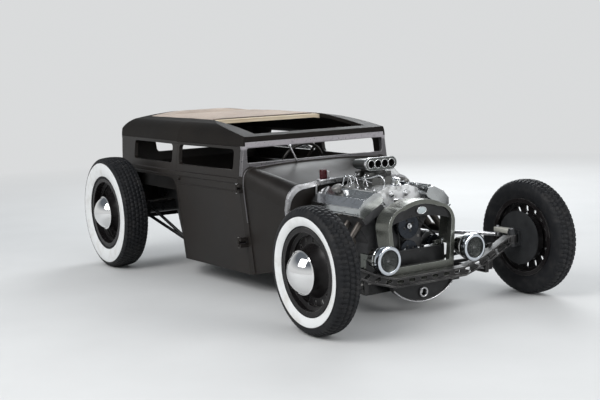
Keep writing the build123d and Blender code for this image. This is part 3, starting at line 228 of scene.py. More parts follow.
def intake_metal():
    """Cast aluminium with stains, a painted highlight on its front end and darker towards the
    carburettors.
    """
    look = Look("intake_aluminium", (0.5, 0.5, 0.49), 0.34, 0.75, soft=0.005)
    # Painted highlight on the front end; behind it the colour is darker towards the carburettors.
    tone = look.mix(look.ramp(look.axis("X"), 0.93, 1.01), (0.13, 0.13, 0.125),
        (0.84, 0.845, 0.85))
    stains = look.ramp(look.noise(18, 9), 0.46, 0.78)
    look.paint(stains, tone, (0.1, 0.098, 0.092))
    look.gloss(look.noise(24), 0.35, 0.7, 0.26, 0.5)
    look.bump(look.cells(700), 0.0006, 0.3)
    return look.grain(140, 5, 0.0006, 0.25).mat


def chrome(name="chrome", color=(0.82, 0.82, 0.82), rough=0.06):
    look = Look(name, color, rough, 1.0)
    look.gloss(look.noise(260, 5), 0.5, 0.8, rough, rough + 0.16)
    return look.grain(40, 2, 0.0004, 0.05).mat


def gunmetal():
    """The grille shell's dark greenish plating, paler along its edges as a painted highlight."""
    look = Look("gunmetal", (0.15, 0.155, 0.14), 0.27, 0.8, soft=0.004)
    cloud = look.ramp(look.noise(7, 8), 0.42, 0.78)
    tone = look.mix(cloud, (0.155, 0.16, 0.142), (0.115, 0.118, 0.104))
    # Painted highlight: the pale colour along the edges draws the shell's edge highlights.
    look.paint(look.edges(0.005), tone, (0.5, 0.51, 0.49))
    return look.grain(420, 2, 0.0002, 0.06).mat


def tyre_rubber():
    """Black rubber with road dust."""
    black = (0.0085, 0.009, 0.0105)
    look = Look("tyre_rubber", black, 0.6, Specular_IOR_Level=0.22)
    dust = look.ramp(look.noise(20, 9), 0.48, 0.76)
    look.paint(dust, black, (0.024, 0.023, 0.023))
    return look.grain(360, 4, 0.0007, 0.3).mat


def white_rubber():
    look = Look("white_rubber", (0.74, 0.74, 0.72), 0.5)
    dirt = look.ramp(look.noise(16, 9), 0.5, 0.85, 0, 0.6)
    look.paint(dirt, (0.7, 0.705, 0.7), (0.42, 0.38, 0.32))
    return look.grain(240, 3, 0.0004, 0.15).mat


def canvas():
    """Tan woven cloth, stained, with painted shade between the threads."""
    look = Look("canvas", (0.4, 0.31, 0.25), 0.9, Sheen_Weight=0.15, Sheen_Roughness=0.5)
    threads = look.math("MAXIMUM", look.waves(420, "X", 0.6), look.waves(420, "Y", 0.6))
    stain = look.ramp(look.noise(3.5, 9), 0.4, 0.7)
    tone = look.mix(stain, (0.42, 0.33, 0.265), (0.31, 0.24, 0.19))
    # Painted shade: darker colour in the gaps between the threads.
    gaps = look.ramp(threads, 0.2, 1.0, 0.35, 0)
    look.paint(gaps, tone, (0.19, 0.145, 0.11))
    return look.bump(threads, 0.0006, 0.6).mat


def pale_wood():
    look = Look("pale_wood", (0.62, 0.52, 0.37), 0.62)
    grain = look.waves(26, "X", 5.0, look.stretched((1, 0.12, 1)))
    fibre = look.noise(90, 8, vector=look.stretched((1, 0.05, 1)))
    tone = look.mix(look.ramp(grain, 0.1, 0.9, 0, 0.55), (0.66, 0.56, 0.41), (0.42, 0.31, 0.19))
    look.paint(look.ramp(fibre, 0.45, 0.75, 0, 0.5), tone, (0.3, 0.22, 0.14))
    return look.bump(fibre, 0.0008, 0.4).mat


def leather():
    brown = (0.045, 0.03, 0.022)
    look = Look("leather", brown, 0.48)
    wear = look.ramp(look.noise(11, 8), 0.45, 0.75)
    look.paint(wear, brown, times(brown, 2.3))
    look.bump(look.cells(420, "DISTANCE_TO_EDGE"), 0.0006, 0.3)
    return look.grain(60, 6, 0.0012, 0.25).mat


def plastic(name, color, rough=0.25):
    look = Look(name, color, rough, Specular_IOR_Level=0.35)
    look.gloss(look.noise(30), 0.3, 0.8, rough * 0.7, rough + 0.2)
    return look.grain(500, 2, 0.0002, 0.08).mat


def lens_glass():
    """Fluted headlamp glass, see-through enough to show the bulb, tinted near-black as a painted
    dark reflection.
    """
    # Painted reflection: the near-black tint stands for the dark surroundings that the glass
    # mirrors.
    look = Look("lens_glass", (0.045, 0.05, 0.048), 0.02, Alpha=0.34)
    look.gloss(look.noise(60), 0.4, 0.8, 0.02, 0.07)
    return look.bump(look.waves(26, "Y"), 0.0003, 0.1).mat


MATS = {
    "body": satin_body(),
    "roof": satin_body("roof_paint", (0.0115, 0.0096, 0.0082), 0.58, 0.1),
    "frame_metal": frame_header_highlight(),
    "black": black_paint(),
    "rim": black_paint("rim_black", (0.0095, 0.0082, 0.0085), 0.24, specular=0.2),
    # Painted highlight: the axle's pale edge colour draws light lines along the beam's flanges.
    "axle": black_paint("axle_paint_edge_highlight", (0.019, 0.018, 0.018), 0.27, (0.36, 0.35, 0.34)),
    "cabin": black_paint("cabin_paint", (0.03, 0.026, 0.022), 0.55),
    # Near-black for the cones inside the scoop's ports: painted shade.
    "port_shade": black_paint("port_soot", (0.01, 0.009, 0.009), 0.7),
    "steel": bare_metal("bare_steel", (0.6, 0.597, 0.61), 0.27, 0.2),
    "dull_steel": bare_metal("dull_steel", (0.3, 0.29, 0.28), 0.42, 0.1),
    "pipe": bare_metal("pipe_steel", (0.12, 0.108, 0.098), 0.36, 0.1, scale=12),
    "polished": bare_metal("polished_aluminium", (0.78, 0.79, 0.8), 0.16, 0.05),
    "cover": bare_metal("cover_aluminium", (0.47, 0.485, 0.487), 0.15, 0.0, 0.03, 6),
    "pulley": bare_metal("pulley_metal", (0.036, 0.04, 0.047), 0.24, 0.0, 0.05),
    "scoop": bare_metal("scoop_metal", (0.12, 0.127, 0.122), 0.32, 0.1),
    # Painted reflection: the lamp reflector is near-black instead of bright, for the dark ground
    # it mirrors.
    "reflector": bare_metal("dark_reflector", (0.045, 0.048, 0.044), 0.2, 0.0, 0.0, 8),
    "cast": intake_metal(),
    "dull_cast": cast_metal("dull_aluminium", (0.26, 0.26, 0.26), 0.42),
    "iron": cast_metal("engine_iron", (0.07, 0.07, 0.072), 0.5, 0.4),
    "plate": cast_metal("backing_plate", (0.035, 0.036, 0.038), 0.45, 0.4),
    "pale_arm": cast_metal("pale_arm", (0.5, 0.49, 0.44), 0.5, 0.3),
    "carb": cast_metal("carburettor", (0.07, 0.07, 0.068), 0.38, 0.8),
    "bucket": chrome("dark_chrome", (0.13, 0.137, 0.125), 0.1),
    # Painted reflection: the lamp rims' chrome is tinted blue for the sky it mirrors.
    "rim_chrome": chrome("rim_chrome", (0.6, 0.635, 0.68), 0.1),
    "chrome": chrome(), "shell": gunmetal(), "tyre": tyre_rubber(), "white": white_rubber(),
    "canvas": canvas(), "wood": pale_wood(), "leather": leather(), "glass": lens_glass(),
    "bakelite": plastic("black_plastic", (0.02, 0.018, 0.016)),
    "red": plastic("red_plastic", (0.05, 0.009, 0.011)),
    "enamel": plastic("pale_enamel", (0.42, 0.47, 0.48), 0.2),
    "rubber": plastic("black_rubber", (0.015, 0.015, 0.015), 0.6),
    "dial": plastic("dial_face", (0.6, 0.58, 0.52), 0.3),
}

WHEEL_NODES = "{0}_front_left {0}_front_right {0}_rear_left {0}_rear_right"
NODE_LOOKS = {
    "body": "cowl firewall quarter_panels rear_panel door_left door_right dash",
    "roof": "roof_shell", "frame_metal": "windshield_frame", "steel": "hood_ledge drag_link",
    "black": "frame radius_rods rear_axle propshaft tie_rod pitman_arm steering_column apron "
             "badge_panel",
    "plate": "knuckle_left knuckle_right", "axle": "front_axle", "dull_steel": "leaf_springs",
    "iron": "engine_block", "cover": "valve_covers", "scoop": "air_scoop", "pulley": "pulleys",
    "cast": "intake", "dull_cast": "gearbox alternator", "pipe": "headers",
    "shell": "grille_shell", "bucket": "headlamps", "glass": "lamp_lenses",
    "canvas": "roof_fabric", "wood": "roof_bows", "leather": "seats",
    "bakelite": "steering_wheel", "cabin": "floor",
    "tyre": WHEEL_NODES.format("tyre"),
    "rim": WHEEL_NODES.format("rim"),
    "chrome": WHEEL_NODES.format("cap"),
}


def dress_nodes():
    """Gives each CAD node its material."""
    for look, names in NODE_LOOKS.items():
        for name in names.split():
            slots = NODES[name].data.materials
            slots.clear()
            slots.append(MATS[look])


# ---- Pieces

def new_object(name, data):
    obj = bpy.data.objects.new(name, data)
    scene.collection.objects.link(obj)
    return obj


def add_object(name, data, body):
    """Object that rides on a body."""
    obj = new_object(name, data)
    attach(obj, body)
    return obj


def piece(name, mesh, look, body="chassis", smooth=True):
    mesh.materials.append(MATS[look])
    for poly in mesh.polygons:
        poly.use_smooth = smooth
    return add_object(name, mesh, body)


def make_mesh(name, verts, faces):
    mesh = bpy.data.meshes.new(name)
    mesh.from_pydata(verts, [], faces)
    mesh.update()
    return mesh


def ring_mesh(name, rows, closed=True, wrap=True):
    """Quads between rows of points; closed joins last row and first, wrap a row's ends."""
    n = len(rows[0])
    faces = []
    for i in range(len(rows) - (0 if closed else 1)):
        j = (i + 1) % len(rows)
        for k in range(n if wrap else n - 1):
            m = (k + 1) % n
            faces.append((i * n + k, i * n + m, j * n + m, j * n + k))
    return make_mesh(name, [p for row in rows for p in row], faces)


def angles(steps):
    return [2 * pi * k / steps for k in range(steps)]


def frame_axes(axis):
    """The axis as a unit vector, and two more square to it and to each other."""
    axis = Vector(axis).normalized()
    u = axis.orthogonal().normalized()
    return axis, u, axis.cross(u)


def sharpen(obj, angle=32):
    """Marks hard edges sharp so that the faces between them stay crisp."""
    bm = bmesh.new()
    bm.from_mesh(obj.data)
    bmesh.ops.remove_doubles(bm, verts=bm.verts, dist=1e-6)
    bmesh.ops.recalc_face_normals(bm, faces=bm.faces)
    for edge in bm.edges:
        if len(edge.link_faces) == 2 and edge.calc_face_angle(0) > radians(angle):
            edge.smooth = False
    bm.to_mesh(obj.data)
    bm.free()
    return obj


def ring_piece(name, rows, look, **joins):
    return sharpen(piece(name, ring_mesh(name, rows, **joins), look))


def lathe(name, profile, place, axis, look, steps=48):
    """Turned piece: profile is (radius, distance along the axis) from the place."""
    t, u, v = frame_axes(axis)
    place = Vector(place)
    rows = [[tuple(place + (u * cos(a) + v * sin(a)) * r + t * d) for r, d in profile]
        for a in angles(steps)]
    return ring_piece(name, rows, look, wrap=False)


def bolts(name, spots, look, radius=0.007, height=0.005, body="chassis"):
    """Hexagon heads on washers, one mesh: spots are (place, axis) pairs."""
    verts, faces = [], []
    for place, axis in spots:
        t, u, v = frame_axes(axis)
        for sides, r, low, high in ((18, radius * 1.45, -0.001, 0.0014),
                (6, radius, 0.0012, height)):
            base = len(verts)
            for level, rr in ((low, r), (high * 0.8, r), (high, r * 0.86)):
                verts += [tuple(Vector(place) + (u * cos(a) + v * sin(a)) * rr + t * level)
                    for a in angles(sides)]
            for ring in (base, base + sides):
                for k in range(sides):
                    m = (k + 1) % sides
                    faces.append((ring + k, ring + m, ring + sides + m, ring + sides + k))
            faces.append(tuple(base + 2 * sides + k for k in range(sides)))
    return piece(name, make_mesh(name, verts, faces), look, body, smooth=False)


def pipe(name, points, radius, look, body="chassis", order=3):
    """Round bar or tube along a smooth line; order 2 keeps the corners."""
    curve = bpy.data.curves.new(name, "CURVE")
    curve.dimensions = "3D"
    curve.bevel_depth, curve.bevel_resolution, curve.resolution_u = radius, 4, 10
    curve.use_fill_caps = True
    spline = curve.splines.new("NURBS")
    spline.points.add(len(points) - 1)
    for point, co in zip(spline.points, points):
        point.co = (*co, 1)
    spline.order_u = min(order, len(points))
    spline.use_endpoint_u = True
    curve.materials.append(MATS[look])
    return add_object(name, curve, body)


def block(name, low, high, look, radius=0.004, body="chassis"):
    """Block with rounded edges between two corners."""
    bm = bmesh.new()
    bmesh.ops.create_cube(bm, size=1)
    low, high = (Vector([pick(pair) for pair in zip(low, high)]) for pick in (min, max))
    for vert in bm.verts:
        vert.co = vert.co * (high - low) + (low + high) / 2
    bmesh.ops.bevel(bm, geom=list(bm.edges), offset=radius, segments=3, affect="EDGES",
        profile=0.5)
    mesh = bpy.data.meshes.new(name)
    bm.to_mesh(mesh)
    bm.free()
    return piece(name, mesh, look, body)


def surface(*nodes):
    """Function that finds where a ray first meets the faces of CAD nodes."""
    verts, faces = [], []
    for node in nodes:
        mesh, base = NODES[node].data, len(verts)
        verts += [v.co.copy() for v in mesh.vertices]
        faces += [[base + i for i in p.vertices] for p in mesh.polygons]
    tree = BVHTree.FromPolygons(verts, faces)
    return lambda start, way: tree.ray_cast(Vector(start), Vector(way))[0]


def arc_points(a, mid, b, count):
    """Points along the arc through three points, without the last."""
    (ax, ay), (mx, my), (bx, by) = a, mid, b
    d = 2 * (ax * (my - by) + mx * (by - ay) + bx * (ay - my))
    sa, sm, sb = (x**2 + y**2 for x, y in (a, mid, b))
    ux = (sa * (my - by) + sm * (by - ay) + sb * (ay - my)) / d
    uy = (sa * (bx - mx) + sm * (ax - bx) + sb * (mx - ax)) / d
    start, middle, end = (atan2(y - uy, x - ux) for x, y in (a, mid, b))
    r = hypot(ax - ux, ay - uy)
    span = (end - start) % (2 * pi)
    if (middle - start) % (2 * pi) > span:
        span -= 2 * pi
    return [(ux + r * cos(start + span * i / count), uy + r * sin(start + span * i / count))
        for i in range(count)]


# ---- Tyres

# centre X and Y, radius, half width, half width and radius at the bead, radii of the white
# ring, ribs across the tread, blocks round it
TYRES = {
    "front": (1.326, 0.77, 0.345, 0.07, 0.052, 0.216, (0.2425, 0.292), 3, 72),
    "rear": (-1.274, 0.775, 0.397, 0.092, 0.071, 0.229, (0.2635, 0.359), 5, 80),
}
SHOULDER = 0.024  # width of each shoulder beside the tread
GROOVE, GROOVE_DEPTH = 0.009, 0.0085  # between two ribs
BLOCK_STEPS = 6  # sections to a block and its gap
BLOCK_CUT, WALL_CUT = 0.0075, 0.003  # depth of a gap in the tread, and in the wall beside it


def sidewall(r, w, bead, seat, count):
    """Arc (radius, y) of the outer sidewall from the rim flange to the shoulder."""
    flange = seat + 0.02
    return arc_points((flange, bead), ((r + flange - 0.002) / 2, w), (r - 0.022, w - 0.008), count)


def tread_section(r, half, ribs):
    """Tread as (radius, y, kind); the gaps in odd and even ribs are staggered."""
    rib = (2 * half - GROOVE * (ribs - 1)) / ribs

    def crown(y):
        return r - 0.006 * (y / half) ** 2

    points, y = [], -half
    for i in range(ribs):
        for share, drop in ((0.002, 0.0012), (0.12, 0), (0.5, 0), (0.88, 0), (0.998, 0.0012)):
            points.append((crown(y + rib * share) - drop, y + rib * share,
                "even" if i % 2 else "odd"))
        y += rib
        if i < ribs - 1:
            points += [(crown(y) - GROOVE_DEPTH, y + GROOVE * share, "groove")
                for share in (0.2, 0.8)]
            y += GROOVE
    return points


def tyre_section(r, w, bead, seat, ribs):
    """Outline of the whole tyre from bead to bead, as (radius, y, kind)."""
    wall = [(seat + 0.0005, bead), (seat + 0.009, bead)] + sidewall(r, w, bead, seat, 18)
    wall += [(r - 0.022, w - 0.008), (r - 0.014, w - 0.0135)]
    half = [(a, -b, "side") for a, b in wall] + [(r - 0.006, SHOULDER - w, "edge")]
    return half + tread_section(r, w - SHOULDER, ribs) + [(a, -b, k) for a, b, k in reversed(half)]


def make_tyre(axle, tag, side):
    """Tyre with staggered rows of blocks, notched shoulders and a white ring outside."""
    cx, cy, r, w, bead, seat, white, ribs, blocks = TYRES[axle]
    corner = f"{axle}_{tag}"

    def spun(name, sections, look, wrap):
        """Piece on the wheel through (radius, y) sections set evenly round its axle."""
        rows = [[(cx + a * sin(turn), side * (cy + b), r + a * cos(turn)) for a, b in section]
            for turn, section in zip(angles(len(sections)), sections)]
        mesh = ring_mesh(name, rows, wrap=wrap)
        if side > 0:
            mesh.flip_normals()
        return piece(name, mesh, look, f"wheel_{corner}")

    def cut(radius, kind, step):
        """Radius of a point, lower in a gap between blocks."""
        if kind in ("odd", "edge") and step < 2 or kind == "even" and step in (3, 4):
            return radius - BLOCK_CUT
        if kind == "side" and radius > r - 0.023 and step < 2:
            return radius - WALL_CUT
        return radius

    section = tyre_section(r, w, bead, seat, ribs)
    rows = [[(cut(a, kind, k % BLOCK_STEPS), b) for a, b, kind in section]
        for k in range(blocks * BLOCK_STEPS)]
    tread = spun(f"tyre_{corner}_detail", rows, "tyre", True)
    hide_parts(f"tyre_{corner}")
    wall = sidewall(r, w, bead, seat, 90)
    inner, outer = white
    for label, look, low, high, proud in (("whitewall", "white", inner, outer, 0.0011),
            ("wall_bead", "tyre", outer + 0.0015, outer + 0.007, 0.0018),
            ("rim_bead", "tyre", inner - 0.0065, inner - 0.001, 0.0018)):
        skin = [(a, b) for a, b in wall if low <= a <= high]
        ends = [(a, b - 0.001) for a, b in (skin[0], skin[-1])]
        skin = ends[:1] + [(a, b + proud) for a, b in skin] + ends[1:]
        spun(f"{label}_{corner}", [skin] * 160, look, False)


# ---- Front: badge, apron, lamps

# turned parts: name, look, steps, profile from the middle of the lens
LAMP_PARTS = (
    ("rim", "rim_chrome", 72, [(0.0742, -0.032), (0.0807, -0.0312), (0.0812, -0.007),
        (0.079, -0.001), (0.0735, 0.0018), (0.0665, 0.002),
        (0.0615, 0.0004), (0.0602, -0.004)]),
    ("reflector", "reflector", 64, [(0.0664, -0.0095), (0.06, -0.0125), (0.046, -0.0172),
        (0.028, -0.0208), (0.012, -0.0222), (0.0001, -0.0225)]),
    ("bulb", "chrome", 32, [(0.0001, -0.006), (0.006, -0.0066), (0.0105, -0.0105),
        (0.0105, -0.0145), (0.007, -0.019), (0.007, -0.0222)]),
    ("glass", "glass", 64, [(0.0668, -0.009), (0.0668, -0.007), (0.052, -0.0032),
        (0.03, -0.0009), (0.0001, 0.0), (0.0001, -0.0018),
        (0.03, -0.0027), (0.052, -0.005)]),
    ("seam", "chrome", 72, [(0.0748, -0.062), (0.0762, -0.06), (0.0762, -0.056),
        (0.0748, -0.054)]),
)


def badge_oval(name, steps, look):
    """Domed oval facing forward: steps are (share of the size, distance forward)."""
    rows = [[(1.2695 + x, 0.035 * s * cos(a), 0.578 + 0.022 * s * sin(a)) for s, x in steps]
        for a in angles(64)]
    ring_piece(name, rows, look, wrap=False)


def dress_front():
    """Blank badge, crank ring, apron lip and cap knob."""
    badge_oval("badge_rim", [(1.0, 0), (1.0, 0.003), (0.96, 0.0045), (0.86, 0.0045),
        (0.84, 0.002)], "polished")
    badge_oval("badge_face", [(0.85, 0.0015), (0.82, 0.003), (0.5, 0.0048), (0.001, 0.0055)],
        "enamel")
    lathe("crank_ring", [(0.0198, -0.004), (0.0198, 0.003), (0.0225, 0.0048), (0.027, 0.0048),
        (0.0297, 0.003), (0.0297, -0.004)], (1.276, 0, 0.108), FORWARD, "steel")
    left, right = (0.214, 0.142), (-0.214, 0.142)
    lip = arc_points(left, (0, 0.0565), right, 14) + [right]
    pipe("apron_lip", [(1.2755, y, z) for y, z in lip], 0.0048, "steel")
    lathe("shell_knob", [(0.004, -0.004), (0.004, 0.012), (0.011, 0.013), (0.0125, 0.019),
        (0.011, 0.026), (0.0001, 0.028)], (1.215, 0.238, 0.475), (0, 1, 0), "carb", 32)


def dress_lamps():
    """Turned parts and bracket bolts of each headlamp."""
    for tag, side in SIDES:
        for part, look, steps, profile in LAMP_PARTS:
            made = lathe(f"lamp_{part}_{tag}", profile, (1.37, side * 0.31, 0.34), FORWARD, look,
                steps)
            if part == "glass":
                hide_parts("lamp_lenses")
        bolts(f"lamp_bolts_{tag}", [((1.13, side * 0.314, z), (0, -side, 0))
            for z in (0.26, 0.31)], "steel", 0.006)


def dress_crossmember():
    """What carries the grille shell, with its bolts."""
    block("crossmember_shim", (1.161, 0.082, 0.343), (1.186, 0.19, 0.357), "polished", 0.003)
    block("shell_tab", (1.187, 0.208, 0.352), (1.195, 0.222, 0.384), "steel", 0.003)
    for tag, side in SIDES:
        block(f"shell_brace_{tag}", (1.162, side * 0.197, 0.262), (1.186, side * 0.2355, 0.35),
            "black")
    bolts("crossmember_bolts", [((1.173, y, 0.344), UP) for y in (-0.15, -0.05, 0.05)]
        + [((1.187, y, z), FORWARD) for y in (-0.16, 0.16) for z in (0.19, 0.25)]
        + [((1.195, 0.215, 0.375), FORWARD)], "polished", 0.008, 0.008)


# ---- Engine

PULLEYS = ((0, 0.33, 0.0545), (0, 0.475, 0.0665), (0.19, 0.352, 0.0425))  # Y, Z, radius
SCOOP_Z, PORT_PITCH = 0.82, 0.0495


def cover_bars(name, outline, x0, x1, look):
    """Bar with a (Y, Z) outline along each valve cover."""
    verts, faces, n = [], [], len(outline)
    for _, side in SIDES:
        base = len(verts)
        verts += [(x, side * y, z) for x in (x0, x1) for y, z in outline]
        faces += [(base + k, base + (k + 1) % n, base + n + (k + 1) % n, base + n + k)
            for k in range(n)]
        faces += [tuple(base + k for k in reversed(range(n))),
            tuple(base + n + k for k in range(n))]
    sharpen(piece(name, make_mesh(name, verts, faces), look), 20)


def dress_covers():
    """Flange, edge, fins, bolts, breather and clip of each valve cover."""
    cover_bars("cover_flanges", [(0.296, 0.5385), (0.336, 0.5605), (0.333, 0.567), (0.293, 0.545)],
        0.634, 1.132, "cover")
    cover_bars("cover_edges", [(0.3255, 0.6), (0.3285, 0.6045), (0.2855, 0.652), (0.281, 0.6485)],
        0.642, 1.1245, "polished")
    for i in range(6):
        y = 0.18 + i * 0.0062
        z = 0.6785 + (y - 0.176) * 0.158
        cover_bars(f"cover_fin_{i}", [(y, z - 0.001), (y + 0.0024, z - 0.001),
            (y + 0.0019, z + 0.0075), (y + 0.0005, z + 0.0075)], 0.89, 1.1, "cover")
    bolts("cover_bolts", [((x, side * 0.3335, 0.566), (0, side * 0.48, 0.88))
        for x in (0.67, 0.8, 0.965, 1.095) for _, side in SIDES], "chrome", 0.006, 0.008)
    for tag, side in SIDES:
        lathe(f"breather_{tag}", [(0.016, -0.004), (0.016, 0.01), (0.029, 0.011), (0.031, 0.016),
            (0.031, 0.03), (0.028, 0.034), (0.01, 0.037), (0.0001, 0.037)],
            (0.8, side * 0.242, 0.671), (0, side * 0.42, 0.905), "dull_steel")
        block(f"cover_clip_{tag}", (0.872, side * 0.236, 0.662), (0.9, side * 0.262, 0.684),
            "polished", 0.003)


def dress_carburettors():
    """Two carburettors with float bowls, fuel lines and throttle linkage."""
    for i, x in enumerate((0.773, 0.869)):
        lathe(f"carburettor_{i}", [(0.0446, -0.001), (0.052, 0.0), (0.053, 0.006), (0.0475, 0.008),
            (0.0475, 0.026), (0.051, 0.028), (0.051, 0.034), (0.0446, 0.036), (0.0446, 0.046)],
            (x, 0, 0.736), UP, "carb", 56)
        for tag, side in SIDES:
            block(f"float_bowl_{i}_{tag}", (x - 0.026, side * 0.04, 0.737),
                (x + 0.026, side * 0.082, 0.772), "carb", 0.006)
            bolts(f"bowl_screws_{i}_{tag}", [((x + dx, side * 0.082, 0.754), (0, side, 0))
                for dx in (-0.017, 0.017)], "polished", 0.0045)
        lathe(f"fuel_inlet_{i}", [(0.007, -0.004), (0.007, 0.012), (0.009, 0.012), (0.009, 0.02),
            (0.0045, 0.022)], (x, -0.081, 0.746), (0, -1, 0), "polished", 24)
    pipe("fuel_line_rear", [(0.773, -0.1, 0.746), (0.772, -0.125, 0.746), (0.745, -0.13, 0.735),
        (0.715, -0.125, 0.736), (0.7, -0.12, 0.744), (0.69, -0.12, 0.72), (0.675, -0.12, 0.684)],
        0.0045, "polished")
    pipe("fuel_line_front", [(0.869, -0.1, 0.746), (0.871, -0.128, 0.746), (0.91, -0.13, 0.742),
        (0.96, -0.115, 0.748), (1.005, -0.1, 0.766), (1.045, -0.095, 0.756), (1.056, -0.09, 0.722),
        (1.03, -0.085, 0.69)], 0.0048, "polished")
    pipe("linkage_rod", [(0.7, -0.092, 0.742), (0.78, -0.092, 0.727), (0.86, -0.092, 0.727),
        (0.93, -0.092, 0.716)], 0.0038, "polished")
    for i, x in enumerate((0.712, 0.775, 0.871)):
        pipe(f"linkage_arm_{i}", [(x + dx, -0.094, z) for dx, z in ((-0.022, 0.688),
            (-0.004, 0.735), (0.004, 0.735), (0.026, 0.688))], 0.0042, "polished", order=2)


def dress_intake():
    """Water neck, filler cap, bosses, plate and bolts of the intake."""
    lathe("water_neck", [(0.03, -0.012), (0.03, 0.006), (0.026, 0.008), (0.023, 0.012),
        (0.023, 0.034), (0.026, 0.036), (0.026, 0.042), (0.02, 0.046), (0.0001, 0.047)],
        (1.03, 0, 0.7), (0.25, 0, 0.97), "polished")
    lathe("filler_cap", [(0.011, 0), (0.011, 0.012), (0.014, 0.014), (0.014, 0.022),
        (0.0001, 0.024)], (1.035, 0.055, 0.698), UP, "pulley", 32)
    for i, (y, z) in enumerate(((-0.118, 0.6), (-0.052, 0.655), (0.052, 0.655), (0.118, 0.6))):
        lathe(f"intake_boss_{i}", [(0.019, -0.012), (0.019, 0.006), (0.016, 0.009), (0.009, 0.01),
            (0.009, 0.017), (0.0001, 0.018)], (1.06, y, z), FORWARD, "polished", 32)
    block("intake_plate", (1.055, -0.04, 0.572), (1.07, 0.04, 0.628), "polished", 0.005)
    bolts("intake_bolts", [((x, side * 0.157, 0.69), (0, side * 0.42, 0.9))
        for x in (0.72, 0.8, 0.88, 0.96, 1.04) for _, side in SIDES], "polished", height=0.007)


def dress_scoop():
    """Four ports with bright rings, each closed by a near-black cone of painted shade, and the lip
    round them all.
    """
    for i in range(4):
        at = (0.906, (i - 1.5) * PORT_PITCH, SCOOP_Z)
        lathe(f"scoop_port_{i}", [(0.0262, -0.001), (0.0262, 0.0025), (0.0228, 0.003),
            (0.0226, -0.004), (0.0215, -0.04), (0.018, -0.056)], at, FORWARD, "polished", 40)
        # Near-black cone inside each port: painted shade.
        lathe(f"scoop_dark_{i}", [(0.0216, -0.012), (0.0205, -0.05), (0.0001, -0.057)], at,
            FORWARD, "port_shade", 40)
    end, half, steps = 0.0378, 0.076, 96
    rows = []
    for k, a in enumerate(angles(steps)):
        middle = k % (steps // 2) == steps // 4  # halfway along a straight side
        y = (0 if middle else copysign(half, cos(a))) + end * cos(a)
        z = end * sin(a)
        rows.append([(x, y * wide, SCOOP_Z + z * tall) for x, wide, tall in (
            (0.891, 1.012, 1.025), (0.9066, 1.012, 1.025), (0.9078, 0.992, 0.97),
            (0.9068, 0.985, 0.94))])
    ring_piece("scoop_lip", rows, "polished", wrap=False)


def make_belt(x=1.14, width=0.0095, thick=0.0075):
    """Fan belt stretched round the pulleys, along the hull of their circles."""
    spots = sorted((cy + r * cos(a), cz + r * sin(a)) for cy, cz, r in PULLEYS for a in angles(72))

    def turn(o, a, b):
        return (a[0] - o[0]) * (b[1] - o[1]) - (a[1] - o[1]) * (b[0] - o[0])

    hull = []
    for walk in (spots, spots[::-1]):
        chain = []
        for spot in walk:
            while len(chain) > 1 and turn(chain[-2], chain[-1], spot) <= 0:
                chain.pop()
            chain.append(spot)
        hull += chain[:-1]
    rows = []
    for i, (y, z) in enumerate(hull):
        a, b = Vector(hull[i - 1]), Vector(hull[(i + 1) % len(hull)])
        out = Vector((b.y - a.y, a.x - b.x)).normalized() * thick
        rows.append([(x - width * 0.36, y, z), (x + width * 0.36, y, z),
            (x + width / 2, y + out.x, z + out.y), (x - width / 2, y + out.x, z + out.y)])
    ring_piece("fan_belt", rows, "rubber")


def dress_block():
    """Belt and the bolts of the pulleys, timing cover and header flanges."""
    make_belt()
    bolts("pulley_nuts", [((1.158, y, z), FORWARD) for y, z, _ in PULLEYS], "polished", 0.0105,
        0.012)
    bolts("pulley_bolts", [((1.15, 0.032 * cos(a), z + 0.032 * sin(a)), FORWARD)
        for _, z, _ in PULLEYS[:2] for a in (0.4, 1.97, 3.54, 5.11)], "carb", 0.0055)
    bolts("timing_bolts", [((1.1, y, z), FORWARD) for y in (-0.108, 0.108)
        for z in (0.2, 0.3, 0.4, 0.5)], "dull_steel", 0.006)
    bolts("header_bolts", [((x + dx, side * 0.279, 0.524), (0, side * 0.67, -0.74))
        for x in (1.04, 0.934, 0.828, 0.722) for dx in (-0.027, 0.027) for _, side in SIDES],
        "dull_steel", 0.006)


def dress_firewall():
    """Shelf, coil box with its clamp, post and the ledge's bolts."""
    block("firewall_shelf", (0.578, -0.246, 0.708), (0.612, -0.124, 0.724), "steel")
    block("coil_box", (0.582, -0.226, 0.723), (0.606, -0.183, 0.782), "red", 0.005)
    block("coil_clamp", (0.5805, -0.182, 0.723), (0.6075, -0.166, 0.77), "steel")
    pipe("firewall_post", [(0.585, -0.252, 0.715), (0.586, -0.253, 0.65), (0.586, -0.254, 0.58)],
        0.0065, "steel")
    bolts("ledge_bolts", [((0.5985, y, z), FORWARD) for y, z in ((-0.1, 0.701), (0.1, 0.701),
        (-0.25, 0.692), (0.25, 0.692), (-0.447, 0.54), (0.447, 0.54), (-0.44, 0.42),
        (0.44, 0.42))], "dull_steel", 0.005)


# ---- Roof fabric, stretched over its bows

BOWS_X = (-0.383, -0.7237, -1.0323, -1.341)
CLOTH_X, CLOTH_Y = 150, 96  # squares along and across
EDGE, SINK = 0.0006, 0.0028  # inset from the CAD fabric's edge, and drop between bows


def fabric_rows():
    """Points over the crown, lower between the bows and puckered along the edges."""
    low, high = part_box("roof_fabric")
    meet = surface("roof_fabric")
    rows = []
    for i in range(CLOTH_X + 1):
        x = low.x + EDGE + (high.x - low.x - 2 * EDGE) * i / CLOTH_X
        gap = min(abs(x - bow) for bow in BOWS_X)
        sink = SINK * min(max(gap - 0.02, 0) / 0.134, 1) ** 1.4
        row = []
        for j in range(CLOTH_Y + 1):
            y = low.y + EDGE + (high.y - low.y - 2 * EDGE) * j / CLOTH_Y
            hit = meet((x, y, 1.3), DOWN)
            edge = min(j, CLOTH_Y - j) / CLOTH_Y * 8
            pucker = 0.0005 * sin(y * 190 + 3 * sin(x * 9)) * max(0, 1 - edge)
            row.append((x, y, hit.z - 0.0032 - sink * min(edge, 1) + pucker))
        rows.append(row)
    return rows


